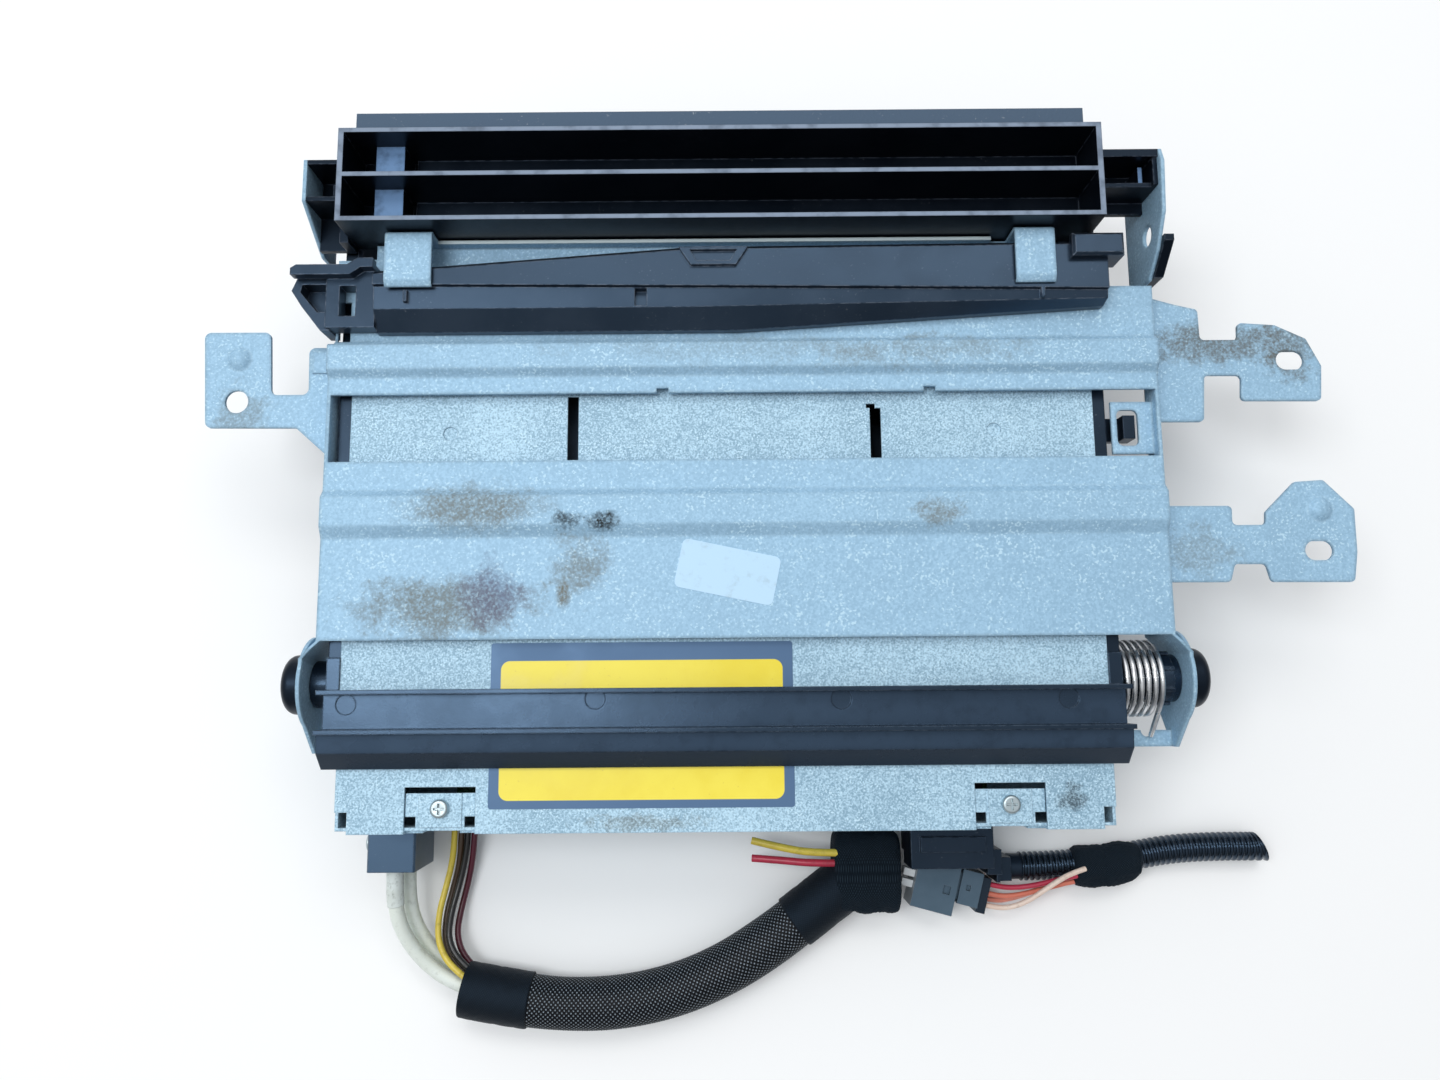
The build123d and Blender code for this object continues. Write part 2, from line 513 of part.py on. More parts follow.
def bracket_arm(wall, arm, with_foot):
    """Joggled arm that runs back to the hinge, round at the pin, with a tail."""
    y = PIVOT_Y
    t = BRACKET_T
    joggle = [(wall, BRACKET_REAR - 6), (wall + t, BRACKET_REAR - 6), (wall + t, BRACKET_REAR),
              (arm + t, BRACKET_REAR + 5.6), (arm + t, y), (arm, y), (arm, BRACKET_REAR + 5.6), (wall, BRACKET_REAR)]
    strip = slab(joggle, PIVOT_Z - 6, PLATE_Z)
    strip -= bar_x([(BRACKET_REAR, PLATE_Z + 1), (y - 8, PIVOT_Z + 14.5), (y + 1, PIVOT_Z + 14.5),
                    (y + 1, PLATE_Z + 1)], min(wall, arm) - 1, max(wall, arm) + 3)
    disc = rod((arm, y, PIVOT_Z), (arm + t, y, PIVOT_Z), ARM_R)
    tail = bar_x([(y, PIVOT_Z - ARM_R + 1), (y, PIVOT_Z + 8), (y + 14, PIVOT_Z + 8), (FOOT_Y1, PIVOT_Z - 1),
                  (FOOT_Y1, FOOT_Z), (FOOT_Y0, FOOT_Z - 3), (y + 8, PIVOT_Z - ARM_R + 1)], arm, arm + t)
    shape = strip + disc + tail
    if with_foot:
        foot = block(arm, arm + 16, FOOT_Y0, FOOT_Y1, FOOT_Z, FOOT_Z + t)
        notch = rod((arm + 9.4, FOOT_Y0, FOOT_Z - 1), (arm + 9.4, FOOT_Y0, FOOT_Z + 3), 2.2)
        shape += foot - notch
    hole = PIN_D / 2 + RUN
    return shape - rod((arm - 5, y, PIVOT_Z), (arm + 5, y, PIVOT_Z), hole)


EAR_Z0 = WALL_Z0                    # the ears are bent out from the walls' lower edges
DOME_R = 4.1
LEFT_HOLE = (34.1, -48.7)           # from the left wall's outer face
LEFT_HOLE_R = 4.0
FRONT_SLOT = (49.4, -60.5)          # from the right wall's outer face
REAR_SLOT = (53.8, 5.9)
SLOT_L, SLOT_W = 9.6, 6.6


def dome(x, y):
    """Pressed locating dome on an ear."""
    z = EAR_Z0 + BRACKET_T
    cap = Pos(x, y, z - 3.6) * Sphere(5.5)
    return cap & block(x - 6, x + 6, y - 6, y + 6, z - 0.5, z + 3)


def ear_slot(x, y):
    """Round-ended fastening slot along X."""
    half = (SLOT_L - SLOT_W) / 2
    cut = block(x - half, x + half, y - SLOT_W / 2, y + SLOT_W / 2, EAR_Z0 - 1, EAR_Z0 + 4)
    for end in (x - half, x + half):
        cut += rod((end, y, EAR_Z0 - 1), (end, y, EAR_Z0 + 4), SLOT_W / 2)
    return cut


def ears():
    """Three mounting ears welded to the bracket's walls."""
    top = EAR_Z0 + BRACKET_T
    edge = LEFT_OUT
    points = [(0, -67.7), (9.9, -67.7), (9.4, -51.0), (22.3, -51.0), (23.5, -73.4), (46.5, -73.5),
              (44.4, -39.6), (13.2, -39.3), (0, -27.5)]
    ear = slab([(edge + x, y) for x, y in points], EAR_Z0, top)
    bends = [corner for corner in ear.edges().filter_by(Axis.Z) if corner.center().X > edge + 1]
    ear = fillet(bends, 2.2)
    hole = (edge + LEFT_HOLE[0], LEFT_HOLE[1])
    ear -= rod((*hole, EAR_Z0 - 1), (*hole, top + 1), LEFT_HOLE_R)
    ear += dome(edge + LEFT_HOLE[0] - 0.2, -63.9)
    tab = block(edge + 1.5, edge + 8.3, -66.5, -58.5, top, top + 0.6)
    keep("ear_left", ear + tab)

    edge = RIGHT_OUT
    points = [(0, -84), (11, -80.8), (18.7, -79), (18.8, -68), (31.9, -68), (32.2, -74.1), (45, -73.2),
              (55.5, -68.2), (60.1, -58.4), (59, -46.1), (31.5, -46.3), (32.2, -55.3), (19.4, -55.4),
              (18.2, -39), (0, -39.1)]
    ear = slab([(edge - x, y) for x, y in points], EAR_Z0, top)
    bends = [corner for corner in ear.edges().filter_by(Axis.Z) if corner.center().X < edge - 1]
    ear = fillet(bends, 1.6)
    ear -= ear_slot(edge - FRONT_SLOT[0], FRONT_SLOT[1])
    keep("ear_front_right", ear)

    points = [(0, -9.7), (25.4, -9.6), (25.1, -3), (36.4, -3), (36.7, -7.4), (47.3, -17.7), (57, -18.3),
              (66.8, -8.2), (66.5, 6.5), (64.8, 16.6), (37, 16.4), (35.5, 10.3), (25, 10.2), (23.2, 16.3),
              (0, 16.2)]
    ear = slab([(edge - x, y) for x, y in points], EAR_Z0, top)
    bends = [corner for corner in ear.edges().filter_by(Axis.Z) if corner.center().X < edge - 1]
    ear = fillet(bends, 1.6)
    ear -= ear_slot(edge - REAR_SLOT[0], REAR_SLOT[1])
    ear += dome(edge - 55.1, -8.3)
    keep("ear_rear_right", ear)


HOOK_X = ((HALF - 30.0, HALF - 14.4), (15.0 - HALF, 28.2 - HALF))


def latch_hooks():
    """Two hooks that stand on the bracket's front edge and reach back over the latch bar."""
    t = BRACKET_T
    hooks = []
    for x0, x1 in HOOK_X:
        under = PLATE_Z + HOOK_UNDER
        profile = [(FLANGE_Y, PLATE_Z), (FLANGE_Y, under + t - 1), (FLANGE_Y + 1, under + t), (-84.5, under + t),
                   (-82.2, under + t - 1.1), (-82.2, under - 0.6), (-83.2, under - 0.6), (-83.2, under),
                   (FLANGE_Y + t, under), (FLANGE_Y + t, PLATE_Z)]
        hooks.append(bar_x(profile, x0, x1))
    keep("latch_hooks", *hooks)


def bracket_sticker():
    """Plain white sticker on the rear band, a little crooked."""
    outline = Rectangle(33.0, 16.3)
    outline = fillet(outline.vertices(), 2.0)
    sticker = extrude(outline, amount=0.15)
    keep("bracket_sticker", Pos(-1.4, 12.1 + 0.3, PLATE_Z) * Rot(0, 0, -12) * sticker)


# ---------------------------------------------------------------- latch
BAR_LEFT, BAR_RIGHT = HALF - 10.0, -HALF - 3.0


def latch_section(x, front, ridge, shelf, rear):
    """One cross section of the latch bar, seen along X."""
    z0 = PLATE_Z + LATCH_GAP
    top = PLATE_Z + HOOK_UNDER - LATCH_GAP - 0.6
    points = [(front, z0), (front, top - 1.2), (front + 1.2, top), (ridge, top), (ridge + 0.3, top - 1.5),
              (shelf, top - 2.0), (rear, z0 + 3.0), (rear, z0)]
    plane = Plane(origin=(x, 0, 0), x_dir=(0, 1, 0), z_dir=(1, 0, 0))
    return plane * make_face(Polyline(*points, close=True))


def latch_bar():
    """Long tapering bar with a stepped top, two ribs, a window and the centre clip."""
    places = [latch_section(BAR_RIGHT, -97.0, -80.5, -77.6, -76.5), latch_section(-6.0, -96.2, -82.2, -75.9, -69.0),
              latch_section(12.0, -96.0, -82.4, -75.7, -69.0), latch_section(BAR_LEFT, -88.4, -83.6, -75.7, -69.0)]
    bar = loft(places, ruled=True)
    top = PLATE_Z + HOOK_UNDER - LATCH_GAP - 0.6
    bar -= block(24.8, 28.8, -82.0, -76.2, top - 4.5, top + 2)
    for x in (HALF - 21.0, 19.0 - HALF):
        bar += block(x - 0.6, x + 0.6, -81.5, -77.6, top - 3.0, top)
    clip = slab([(14, -95.2), (10, -89), (-5, -89), (-9, -95.2)], top - 2.0, top + 1.4)
    hollow = slab([(10.3, -94.2), (8, -90.4), (-3, -90.4), (-5.3, -94.2)], top - 1.0, top + 3)
    bar += clip - hollow
    keep("latch_bar", bar)


def latch_claw():
    """Finger lever and outer claw on the left end of the latch bar."""
    z0 = PLATE_Z + LATCH_GAP
    x0 = BAR_LEFT
    lever = [(0, -92.8), (5, -92.8), (8.5, -90.6), (25.5, -90.6), (27.4, -89.4), (27.4, -87.1), (7.5, -87.1),
             (4, -89.6), (0, -89.6)]
    blade = slab([(x0 + x, y) for x, y in lever], z0 + 6.0, z0 + 9.8)
    root = block(x0, x0 + 16.6, -87.8, -70.0, z0, z0 + 6.0)
    root -= block(x0 + 6.5, x0 + 12.0, -84.5, -74.0, z0 - 1, z0 + 7)
    root += block(x0, x0 + 8, -91.5, -87.8, z0, z0 + 6.0)
    outline = [(15.5, -87.8), (27, -87.8), (28.8, -83.5), (25.2, -78), (18.6, -69.5), (15.5, -69.5)]
    hollow = [(17, -85.6), (25.2, -85.6), (25.8, -83.0), (20, -76), (17, -76)]
    claw = slab([(x0 + x, y) for x, y in outline], z0 - 6.0, z0 + 4.4)
    claw -= slab([(x0 + x, y) for x, y in hollow], z0 - 2.0, z0 + 5)
    keep("latch_claw", blade + root + claw)


def latch_tongue():
    """Bolt on the right end of the latch bar."""
    top = PLATE_Z + HOOK_UNDER - LATCH_GAP - 0.6
    end = BAR_RIGHT - 4.6
    tongue = block(end, end + 17.1, -98.4, -90.6, top, top + 3.4)
    tongue = chamfer(tongue.faces().sort_by(Axis.Z)[-1].edges(), 0.9)
    tongue += block(end, BAR_RIGHT, -96.0, -90.6, top - 8.0, top)
    keep("latch_tongue", tongue)


# ---------------------------------------------------------------- torsion spring
def torsion_spring():
    """Close coil round the hinge, one leg on the bracket's foot and one on the crossbar."""
    start_x = -RAIL_OUT - SPRING_SIDE_GAP
    climb = SPRING_PITCH / 4
    turn_way = -1
    first = math.radians(180)

    def place(quarter):
        angle = first + turn_way * quarter * math.pi / 2
        return Vector(start_x - quarter * climb, PIVOT_Y + SPRING_R * math.cos(angle),
                      PIVOT_Z + SPRING_R * math.sin(angle))

    def way(quarter):
        angle = first + turn_way * quarter * math.pi / 2
        return Vector(-climb * 2 / math.pi, -turn_way * SPRING_R * math.sin(angle),
                      turn_way * SPRING_R * math.cos(angle)).normalized()

    last = SPRING_QUARTERS - 0.5
    stations = list(range(SPRING_QUARTERS)) + [last]
    edges = [Edge.make_line(place(0) - way(0) * SPRING_SHORT_LEG, place(0))]
    for here, there in zip(stations, stations[1:]):
        edges += biarc(place(here), way(here), place(there), way(there))
    edges.append(Edge.make_line(place(last), place(last) + way(last) * SPRING_LEG))
    path = Wire(edges)
    begin = place(0) - way(0) * SPRING_SHORT_LEG
    section = Plane(origin=begin, z_dir=way(0)) * Circle(SPRING_WIRE / 2)
    spring = sweep(section, path=path)
    turns = SPRING_QUARTERS / 4
    samples = [path.position_at(step / 2000) for step in range(2001)]
    per_turn = int(2000 / turns * 0.55)
    least = min((samples[i] - samples[j]).length for i in range(0, 2001, 8)
                for j in range(i + per_turn, 2001, 8)) - SPRING_WIRE
    print(f"torsion spring: wire {SPRING_WIRE}, turns {turns:.1f}, least gap to itself {least:.2f}")
    keep("torsion_spring", spring)


# ---------------------------------------------------------------- inside the case
def drive_chassis():
    """Steel chassis: plate, magazine rails, screw bridge and board pillars."""
    top = CHASSIS_TOP
    plate = block(-HALF + 2, HALF - 6, CASE_FRONT + 1.5, CASE_REAR - 3, CHASSIS_Z, top)
    under = MAG_Z0 - LEDGE_GAP
    for x0, x1 in ((MAG_X1 - 6, MAG_X1), (MAG_X0, MAG_X0 + 6)):
        plate += block(x0, x1, MAG_Y0, MAG_Y1 + 1, under - 1.2, under)
        for y in (MAG_Y0 + 3, PLAY_Y, MAG_Y1 - 8):
            plate += block(x0 + 1, x1 - 1, y, y + 6, top, under)
    plate += block(MAG_X1 + 0.3, MAG_X1 + 1.5, MAG_Y0, MAG_Y1 + 1, top, MAG_Z1 - 12)
    plate += block(MAG_X0, MAG_X1, MAG_Y1 + 0.3, MAG_Y1 + 1.5, under - 1.2, MAG_Z0 + 9)
    bridge_y = LIFT_SCREW_Y + 9.5
    lug_z = DECK_Z + LIFT_TRAVEL + 20.3
    plate += block(CARRIAGE_X0, LIFT_SCREW_X + 12, bridge_y, bridge_y + 1.2, top, lug_z + 1.2)
    plate += block(LIFT_SCREW_X - 6, LIFT_SCREW_X + 6, LIFT_SCREW_Y - 6, bridge_y, lug_z, lug_z + 1.2)
    plate -= rod((LIFT_SCREW_X, LIFT_SCREW_Y, lug_z - 1), (LIFT_SCREW_X, LIFT_SCREW_Y, lug_z + 3),
                 LIFT_SCREW_D / 2 + RUN)
    for x in (-90.0, 0.0, 92.0):
        for y in (MAG_Y1 + 8, CASE_REAR - 9):
            plate += rod((x, y, top), (x, y, top + 2), 2.5)
    keep("drive_chassis", plate)
    return lug_z


def dampers():
    """Four rubber blocks between the case's floor and the chassis."""
    feet = []
    for x in (-HALF + 12, HALF - 16):
        for y in (CASE_FRONT + 14, CASE_REAR - 14):
            feet.append(rod((x, y, SHEET), (x, y, CHASSIS_Z), 7.0))
    keep("rubber_dampers", *feet)


def lift_drive(lug_z):
    """Posts, screw and motor of the lift."""
    x = (CARRIAGE_X0 + CARRIAGE_X1) / 2
    posts = [rod((x, PLAY_Y + side * DECK_R * 1.12, CHASSIS_TOP),
                 (x, PLAY_Y + side * DECK_R * 1.12, lug_z), POST_D / 2) for side in (1, -1)]
    keep("lift_posts", *posts)
    motor_top = DECK_Z + 3.8
    can = rod((LIFT_SCREW_X, LIFT_SCREW_Y, CHASSIS_TOP), (LIFT_SCREW_X, LIFT_SCREW_Y, motor_top), 8.8)
    can = fillet(can.edges().filter_by(GeomType.CIRCLE).sort_by(Axis.Z)[-1], 1.5)
    keep("lift_motor", can)
    screw = rod((LIFT_SCREW_X, LIFT_SCREW_Y, motor_top + 0.2), (LIFT_SCREW_X, LIFT_SCREW_Y, lug_z + 1.2),
                LIFT_SCREW_D / 2)
    screw += rod((LIFT_SCREW_X, LIFT_SCREW_Y, motor_top + 0.2), (LIFT_SCREW_X, LIFT_SCREW_Y, motor_top + 1.6), 4.5)
    keep("lift_screw", screw)


ROD_SIDE = 16.0                     # guide rods beside the deck's middle
FEED_SIDE = 21.5                    # feed screw beside the deck's middle
FEED_H = 5.6                        # its height above the deck's underside
ARM_H = 15.6                        # clamp hinge above the deck's underside
ARM_X = CARRIAGE_X1 + 2.6


def lift_deck():
    """Carriage on the posts with the playing deck, rod holders and clamp lugs."""
    z = DECK_Z
    end = PLAY_X
    deck = block(CARRIAGE_X1, end, PLAY_Y - DECK_R, PLAY_Y + DECK_R, z, z + 1.5)
    deck += rod((end, PLAY_Y, z), (end, PLAY_Y, z + 1.5), DECK_R)
    deck -= block(CARRIAGE_X1 + 1.5, PLAY_X - 14.5, PLAY_Y - 13.5, PLAY_Y + 13.5, z - 1, z + 3)
    deck -= rod((end, PLAY_Y, z - 1), (end, PLAY_Y, z + 3), 3.1)
    wide = DECK_R + 8
    deck += block(CARRIAGE_X0, CARRIAGE_X1, PLAY_Y - wide, PLAY_Y + wide, z - 4, z + 17)
    deck += block(CARRIAGE_X0, CARRIAGE_X1, PLAY_Y + wide, LIFT_SCREW_Y + 8, z + 6, z + 12)
    deck += block(CARRIAGE_X0, LIFT_SCREW_X + 8, LIFT_SCREW_Y - 8, LIFT_SCREW_Y + 8, z + 6, z + 12)
    deck -= rod((LIFT_SCREW_X, LIFT_SCREW_Y, z), (LIFT_SCREW_X, LIFT_SCREW_Y, z + 20), LIFT_SCREW_D / 2 + RUN)
    x = (CARRIAGE_X0 + CARRIAGE_X1) / 2
    for side in (1, -1):
        y = PLAY_Y + side * DECK_R * 1.12
        deck -= rod((x, y, z - 5), (x, y, z + 20), POST_D / 2 + RUN)
        inner = PLAY_Y + side * (ROD_SIDE - 2.5)
        outer = PLAY_Y + side * (ROD_SIDE + 2.3)
        deck += block(PLAY_X - 11.2, PLAY_X - 8.8, inner, outer, z + 1.5, z + 6.2)
        lug_in = PLAY_Y + side * (DECK_R - 1.6)
        lug_out = PLAY_Y + side * (DECK_R + 1.0)
        deck += block(CARRIAGE_X1, ARM_X + 2.2, lug_in, lug_out, z + 10, z + 17.6)
        deck -= rod((ARM_X, lug_in - side, z + ARM_H), (ARM_X, lug_out + side, z + ARM_H), 1.0 + RUN)
        deck -= rod((PLAY_X - 12, PLAY_Y + side * ROD_SIDE, z + 4), (PLAY_X - 9.6, PLAY_Y + side * ROD_SIDE, z + 4),
                    ROD_D / 2 + SEAT)
    keep("lift_deck", deck)
    rods = [rod((CARRIAGE_X1, PLAY_Y + side * ROD_SIDE, z + 4), (PLAY_X - 9.6, PLAY_Y + side * ROD_SIDE, z + 4),
                ROD_D / 2) for side in (1, -1)]
    keep("sled_rods", *rods)


def deck_drives():
    """Spindle motor, turntable, feed motor and feed screw on the deck."""
    z = DECK_Z
    motor = rod((PLAY_X, PLAY_Y, z - 6.5), (PLAY_X, PLAY_Y, z), 11.8)
    motor += rod((PLAY_X, PLAY_Y, z), (PLAY_X, PLAY_Y, z + 4.5), 3.0)
    motor -= rod((PLAY_X, PLAY_Y, z - 4), (PLAY_X, PLAY_Y, z + 6), 1.0 + RUN)
    keep("spindle_motor", motor)
    table = rod((PLAY_X, PLAY_Y, z + 6.6), (PLAY_X, PLAY_Y, z + SEAT_H), 13.0)
    table += rod((PLAY_X, PLAY_Y, z - 3.5), (PLAY_X, PLAY_Y, z + 7), 1.0)
    table += rod((PLAY_X, PLAY_Y, z + 4.9), (PLAY_X, PLAY_Y, z + 6.6), 4.0)
    cone = Pos(PLAY_X, PLAY_Y, z + SEAT_H + 0.6) * Cone(7.4, 6.2, 1.2)
    keep("turntable", table + cone)
    y = PLAY_Y + FEED_SIDE
    feed_z = z + FEED_H
    inner = PLAY_X - 8.6
    feed = rod((inner, y, feed_z), (inner + 14, y, feed_z), 4.0)
    feed += block(inner + 1, inner + 13, y - 2, y + 2, z + 1.5, feed_z - 3)
    keep("feed_motor", feed)
    screw = rod((CARRIAGE_X1 + 0.3, y, feed_z), (inner - 0.2, y, feed_z), FEED_SCREW_D / 2)
    keep("feed_screw", screw)


def pickup():
    """Pickup sled on its rods, with the lens on top."""
    z = DECK_Z
    lens_x = PLAY_X - 24.0
    x0, x1 = lens_x - 6.0, lens_x + 9.6
    sled = block(x0, x1, PLAY_Y - 18.5, PLAY_Y + 18.5, z + 1.8, z + 6.6)
    sled += block(x0 + 2, x1 - 2, PLAY_Y + 18.5, PLAY_Y + FEED_SIDE + 2.4, z + 3.4, z + 7.7)
    sled += block(lens_x - 5.5, lens_x + 5.5, PLAY_Y - 6.5, PLAY_Y + 6.5, z + 6.6, z + 7.4)
    for side in (1, -1):
        y = PLAY_Y + side * ROD_SIDE
        sled -= rod((x0 - 1, y, z + 4), (x1 + 1, y, z + 4), ROD_D / 2 + RUN)
    y = PLAY_Y + FEED_SIDE
    sled -= rod((x0, y, z + FEED_H), (x1, y, z + FEED_H), FEED_SCREW_D / 2 + RUN)
    keep("pickup_sled", sled)
    lens = Pos(lens_x, PLAY_Y, z + 7.4 - 2.2) * Sphere(3.4)
    lens &= block(lens_x - 4, lens_x + 4, PLAY_Y - 4, PLAY_Y + 4, z + 7.4, z + 9)
    keep("pickup_lens", lens)


def clamp():
    """Clamp arm hinged on the deck's lugs, with the puck that spins in its end."""
    z = DECK_Z
    half = DECK_R - 2.0
    arm = block(ARM_X, PLAY_X, PLAY_Y - 12, PLAY_Y + 12, z + 14.6, z + 16.6)
    arm += rod((PLAY_X, PLAY_Y, z + 14.6), (PLAY_X, PLAY_Y, z + 16.6), 15.0)
    arm += rod((ARM_X, PLAY_Y - half, z + ARM_H), (ARM_X, PLAY_Y + half, z + ARM_H), 2.0)
    arm += rod((ARM_X, PLAY_Y - half - 2.2, z + ARM_H), (ARM_X, PLAY_Y + half + 2.2, z + ARM_H), 1.0)
    arm -= rod((PLAY_X, PLAY_Y, z + 13), (PLAY_X, PLAY_Y, z + 18), 2.0 + RUN)
    keep("clamp_arm", arm)
    puck = rod((PLAY_X, PLAY_Y, z + 10.7), (PLAY_X, PLAY_Y, z + 14.2), 12.0)
    puck += rod((PLAY_X, PLAY_Y, z + 14.2), (PLAY_X, PLAY_Y, z + 17.0), 2.0)
    puck += rod((PLAY_X, PLAY_Y, z + 16.8), (PLAY_X, PLAY_Y, z + 17.6), 4.0)
    keep("clamp_puck", puck)


def magazine():
    """Shell open towards the deck, with six ledges a side for the trays."""
    shell = block(MAG_X0, MAG_X1, MAG_Y0, MAG_Y1, MAG_Z0, MAG_Z1)
    shell -= block(MAG_X0 - 1, MAG_X1 - MAG_WALL, MAG_Y0 + MAG_WALL, MAG_Y1 - MAG_WALL,
                   MAG_Z0 + MAG_WALL, MAG_Z1 - MAG_WALL)
    reach = 2.4
    for number in range(TRAYS):
        z1 = TRAY_Z + number * TRAY_PITCH - LEDGE_GAP
        for wall, way in ((MAG_Y0 + MAG_WALL, 1), (MAG_Y1 - MAG_WALL, -1)):
            shell += block(MAG_X0, MAG_X1 - MAG_WALL, wall, wall + way * reach, z1 - 0.9, z1)
    grip_x = (MAG_X0 + MAG_X1) / 2
    shell -= block(grip_x - 20, grip_x + 20, MAG_Y0 - 1, MAG_Y0 + 0.8, MAG_Z0 + 8, MAG_Z1 - 8)
    keep("magazine_shell", shell)
    centre_x = TRAY_X0 + TRAY_X / 2
    for number in range(TRAYS):
        z = TRAY_Z + number * TRAY_PITCH
        tray = block(TRAY_X0, TRAY_X1, TRAY_Y0, TRAY_Y1, z, z + TRAY_T)
        tray -= rod((centre_x, PLAY_Y, z + 0.6), (centre_x, PLAY_Y, z + 3), DISC_R)
        tray -= block(TRAY_X0 - 1, centre_x, PLAY_Y - TRAY_U, PLAY_Y + TRAY_U, z - 1, z + 3)
        tray -= rod((centre_x, PLAY_Y, z - 1), (centre_x, PLAY_Y, z + 3), TRAY_U)
        keep(f"disc_tray_{number + 1}", tray)


def main_board():
    """Circuit board on its pillars with chips and the rear header."""
    z = CHASSIS_TOP + 2
    board = block(-98, 100, MAG_Y1 + 4, CASE_REAR - 5, z, z + 1.6)
    keep("main_board", board)
    chips = []
    for x, y, wide, long in ((-40, 58, 20, 20), (8, 62, 14, 14), (40, 56, 9, 18), (70, 68, 24, 9), (-12, 80, 12, 8)):
        chips.append(block(x - wide / 2, x + wide / 2, y - long / 2, y + long / 2, z + 1.6, z + 4.0))
    header = block(PLUG_X0 + 1, PLUG_X1 - 1, CASE_REAR - 14, CASE_REAR, z + 1.6, PLUG_Z1 - 1)
    header -= block(PLUG_X0 + 2.4, PLUG_X1 - 2.4, CASE_REAR - 11, CASE_REAR + 1, z + 3.0, PLUG_Z1 - 2.4)
    keep("board_parts", *chips, header)


# ---------------------------------------------------------------- wiring behind the case
JACK_X0, JACK_X1 = 108.4, 125.2
JACK_Y0, JACK_Y1 = CASE_REAR + SHEET, CASE_REAR + 18.0
JACK_Z0, JACK_Z1 = 6.0, 31.0
SLEEVE_END, SLEEVE_TAIL = 70.6, -25.0  # X where the loom's two shrunk sleeves stop
SLEEVE_T = 0.6
TAPE_X0, TAPE_X1 = -63.6, -39.2
WRAP_X0, WRAP_X1 = -153.2, -128.2
MATE_X, MATE_Y, MATE_TILT = -76.4, 122.3, -15.0   # the inline connector lies askew
OUTLET_X = -109.4                    # end of the plug's outlet, where the conduit starts
OUTLET_Y, OUTLET_Z = 116.6, 5.5


def rear_jack():
    """Signal socket block on the case's rear wall, held by one side screw."""
    body = block(JACK_X0, JACK_X1, JACK_Y0, JACK_Y1, JACK_Z0, JACK_Z1)
    body = chamfer(body.edges().filter_by(Axis.Y), 0.6)
    body += block(JACK_X0 + 2, JACK_X1 - 2, CASE_REAR, JACK_Y0, JACK_Z0 + 3, JACK_Z1 - 3)
    keep("signal_jack", body)
    y, z = (JACK_Y0 + JACK_Y1) / 2 - 1, JACK_Z1 - 7
    head = rod((JACK_X1, y, z), (JACK_X1 + 1.8, y, z), 3.4)
    head = fillet(head.edges().filter_by(GeomType.CIRCLE).sort_by(Axis.X)[-1], 0.8)
    return head


WHITE_ROUTES = (
    ((118.4, JACK_Y1, 20.0), (118.4, 122.5, 20.0), (117.4, 132.0, 17.6), (114.0, 140.8, 14.0), (108.4, 148.2, 11.4),
     (100.7, 154.1, 10.4), (92.2, 157.4, 10.4)),
    ((115.6, JACK_Y1, 12.4), (115.6, 121.8, 12.4), (114.6, 131.2, 10.4), (111.2, 139.8, 7.6), (105.6, 147.2, 5.4),
     (98.2, 152.9, 4.4), (89.9, 156.4, 4.6)),
)
SUPPLY_ROUTES = (
    ((100.4, CASE_REAR, 8.0), (100.4, 103.4, 8.0), (101.3, 113.2, 6.6), (103.6, 122.9, 6.6), (105.5, 132.4, 8.6),
     (104.3, 141.5, 12.0), (98.4, 149.4, 14.4), (90.8, 154.2, 14.6)),
    ((97.9, CASE_REAR, 8.0), (97.9, 103.5, 8.0), (98.8, 113.1, 5.2), (101.3, 122.7, 3.6), (103.6, 132.3, 4.6),
     (103.1, 141.6, 8.0), (97.7, 149.9, 10.6), (90.2, 155.0, 10.8)),
    ((95.4, CASE_REAR, 8.0), (95.4, 103.1, 8.0), (96.5, 112.6, 7.1), (98.5, 122.0, 7.0), (100.8, 131.1, 8.4),
     (101.1, 140.1, 11.2), (95.9, 147.8, 12.6), (88.8, 152.8, 12.6)),
    ((92.9, CASE_REAR, 8.0), (92.9, 103.0, 8.0), (94.1, 112.2, 5.3), (96.0, 121.3, 3.4), (98.3, 130.4, 3.5),
     (99.3, 139.4, 6.2), (95.4, 147.5, 8.4), (88.7, 152.9, 8.6)),
)
BRAID_ROUTE = ((95.0, 157.3, 9.9), (76.4, 160.9, 9.9), (57.2, 163.0, 9.9), (37.5, 162.4, 9.9), (18.0, 158.4, 9.9),
               (0.0, 151.2, 9.9), (-16.0, 141.6, 9.9), (-30.5, 131.1, 9.9), (-44.3, 120.9, 9.9))
STUB_ROUTES = (
    ((TAPE_X1, 109.4, 18.0), (-31.2, 109.4, 18.0), (-20.2, 107.6, 16.9), (-9.6, 105.2, 15.6)),
    ((TAPE_X1, 113.2, 16.8), (-31.2, 113.2, 16.8), (-20.4, 112.4, 14.8), (-9.8, 111.9, 12.6)),
)
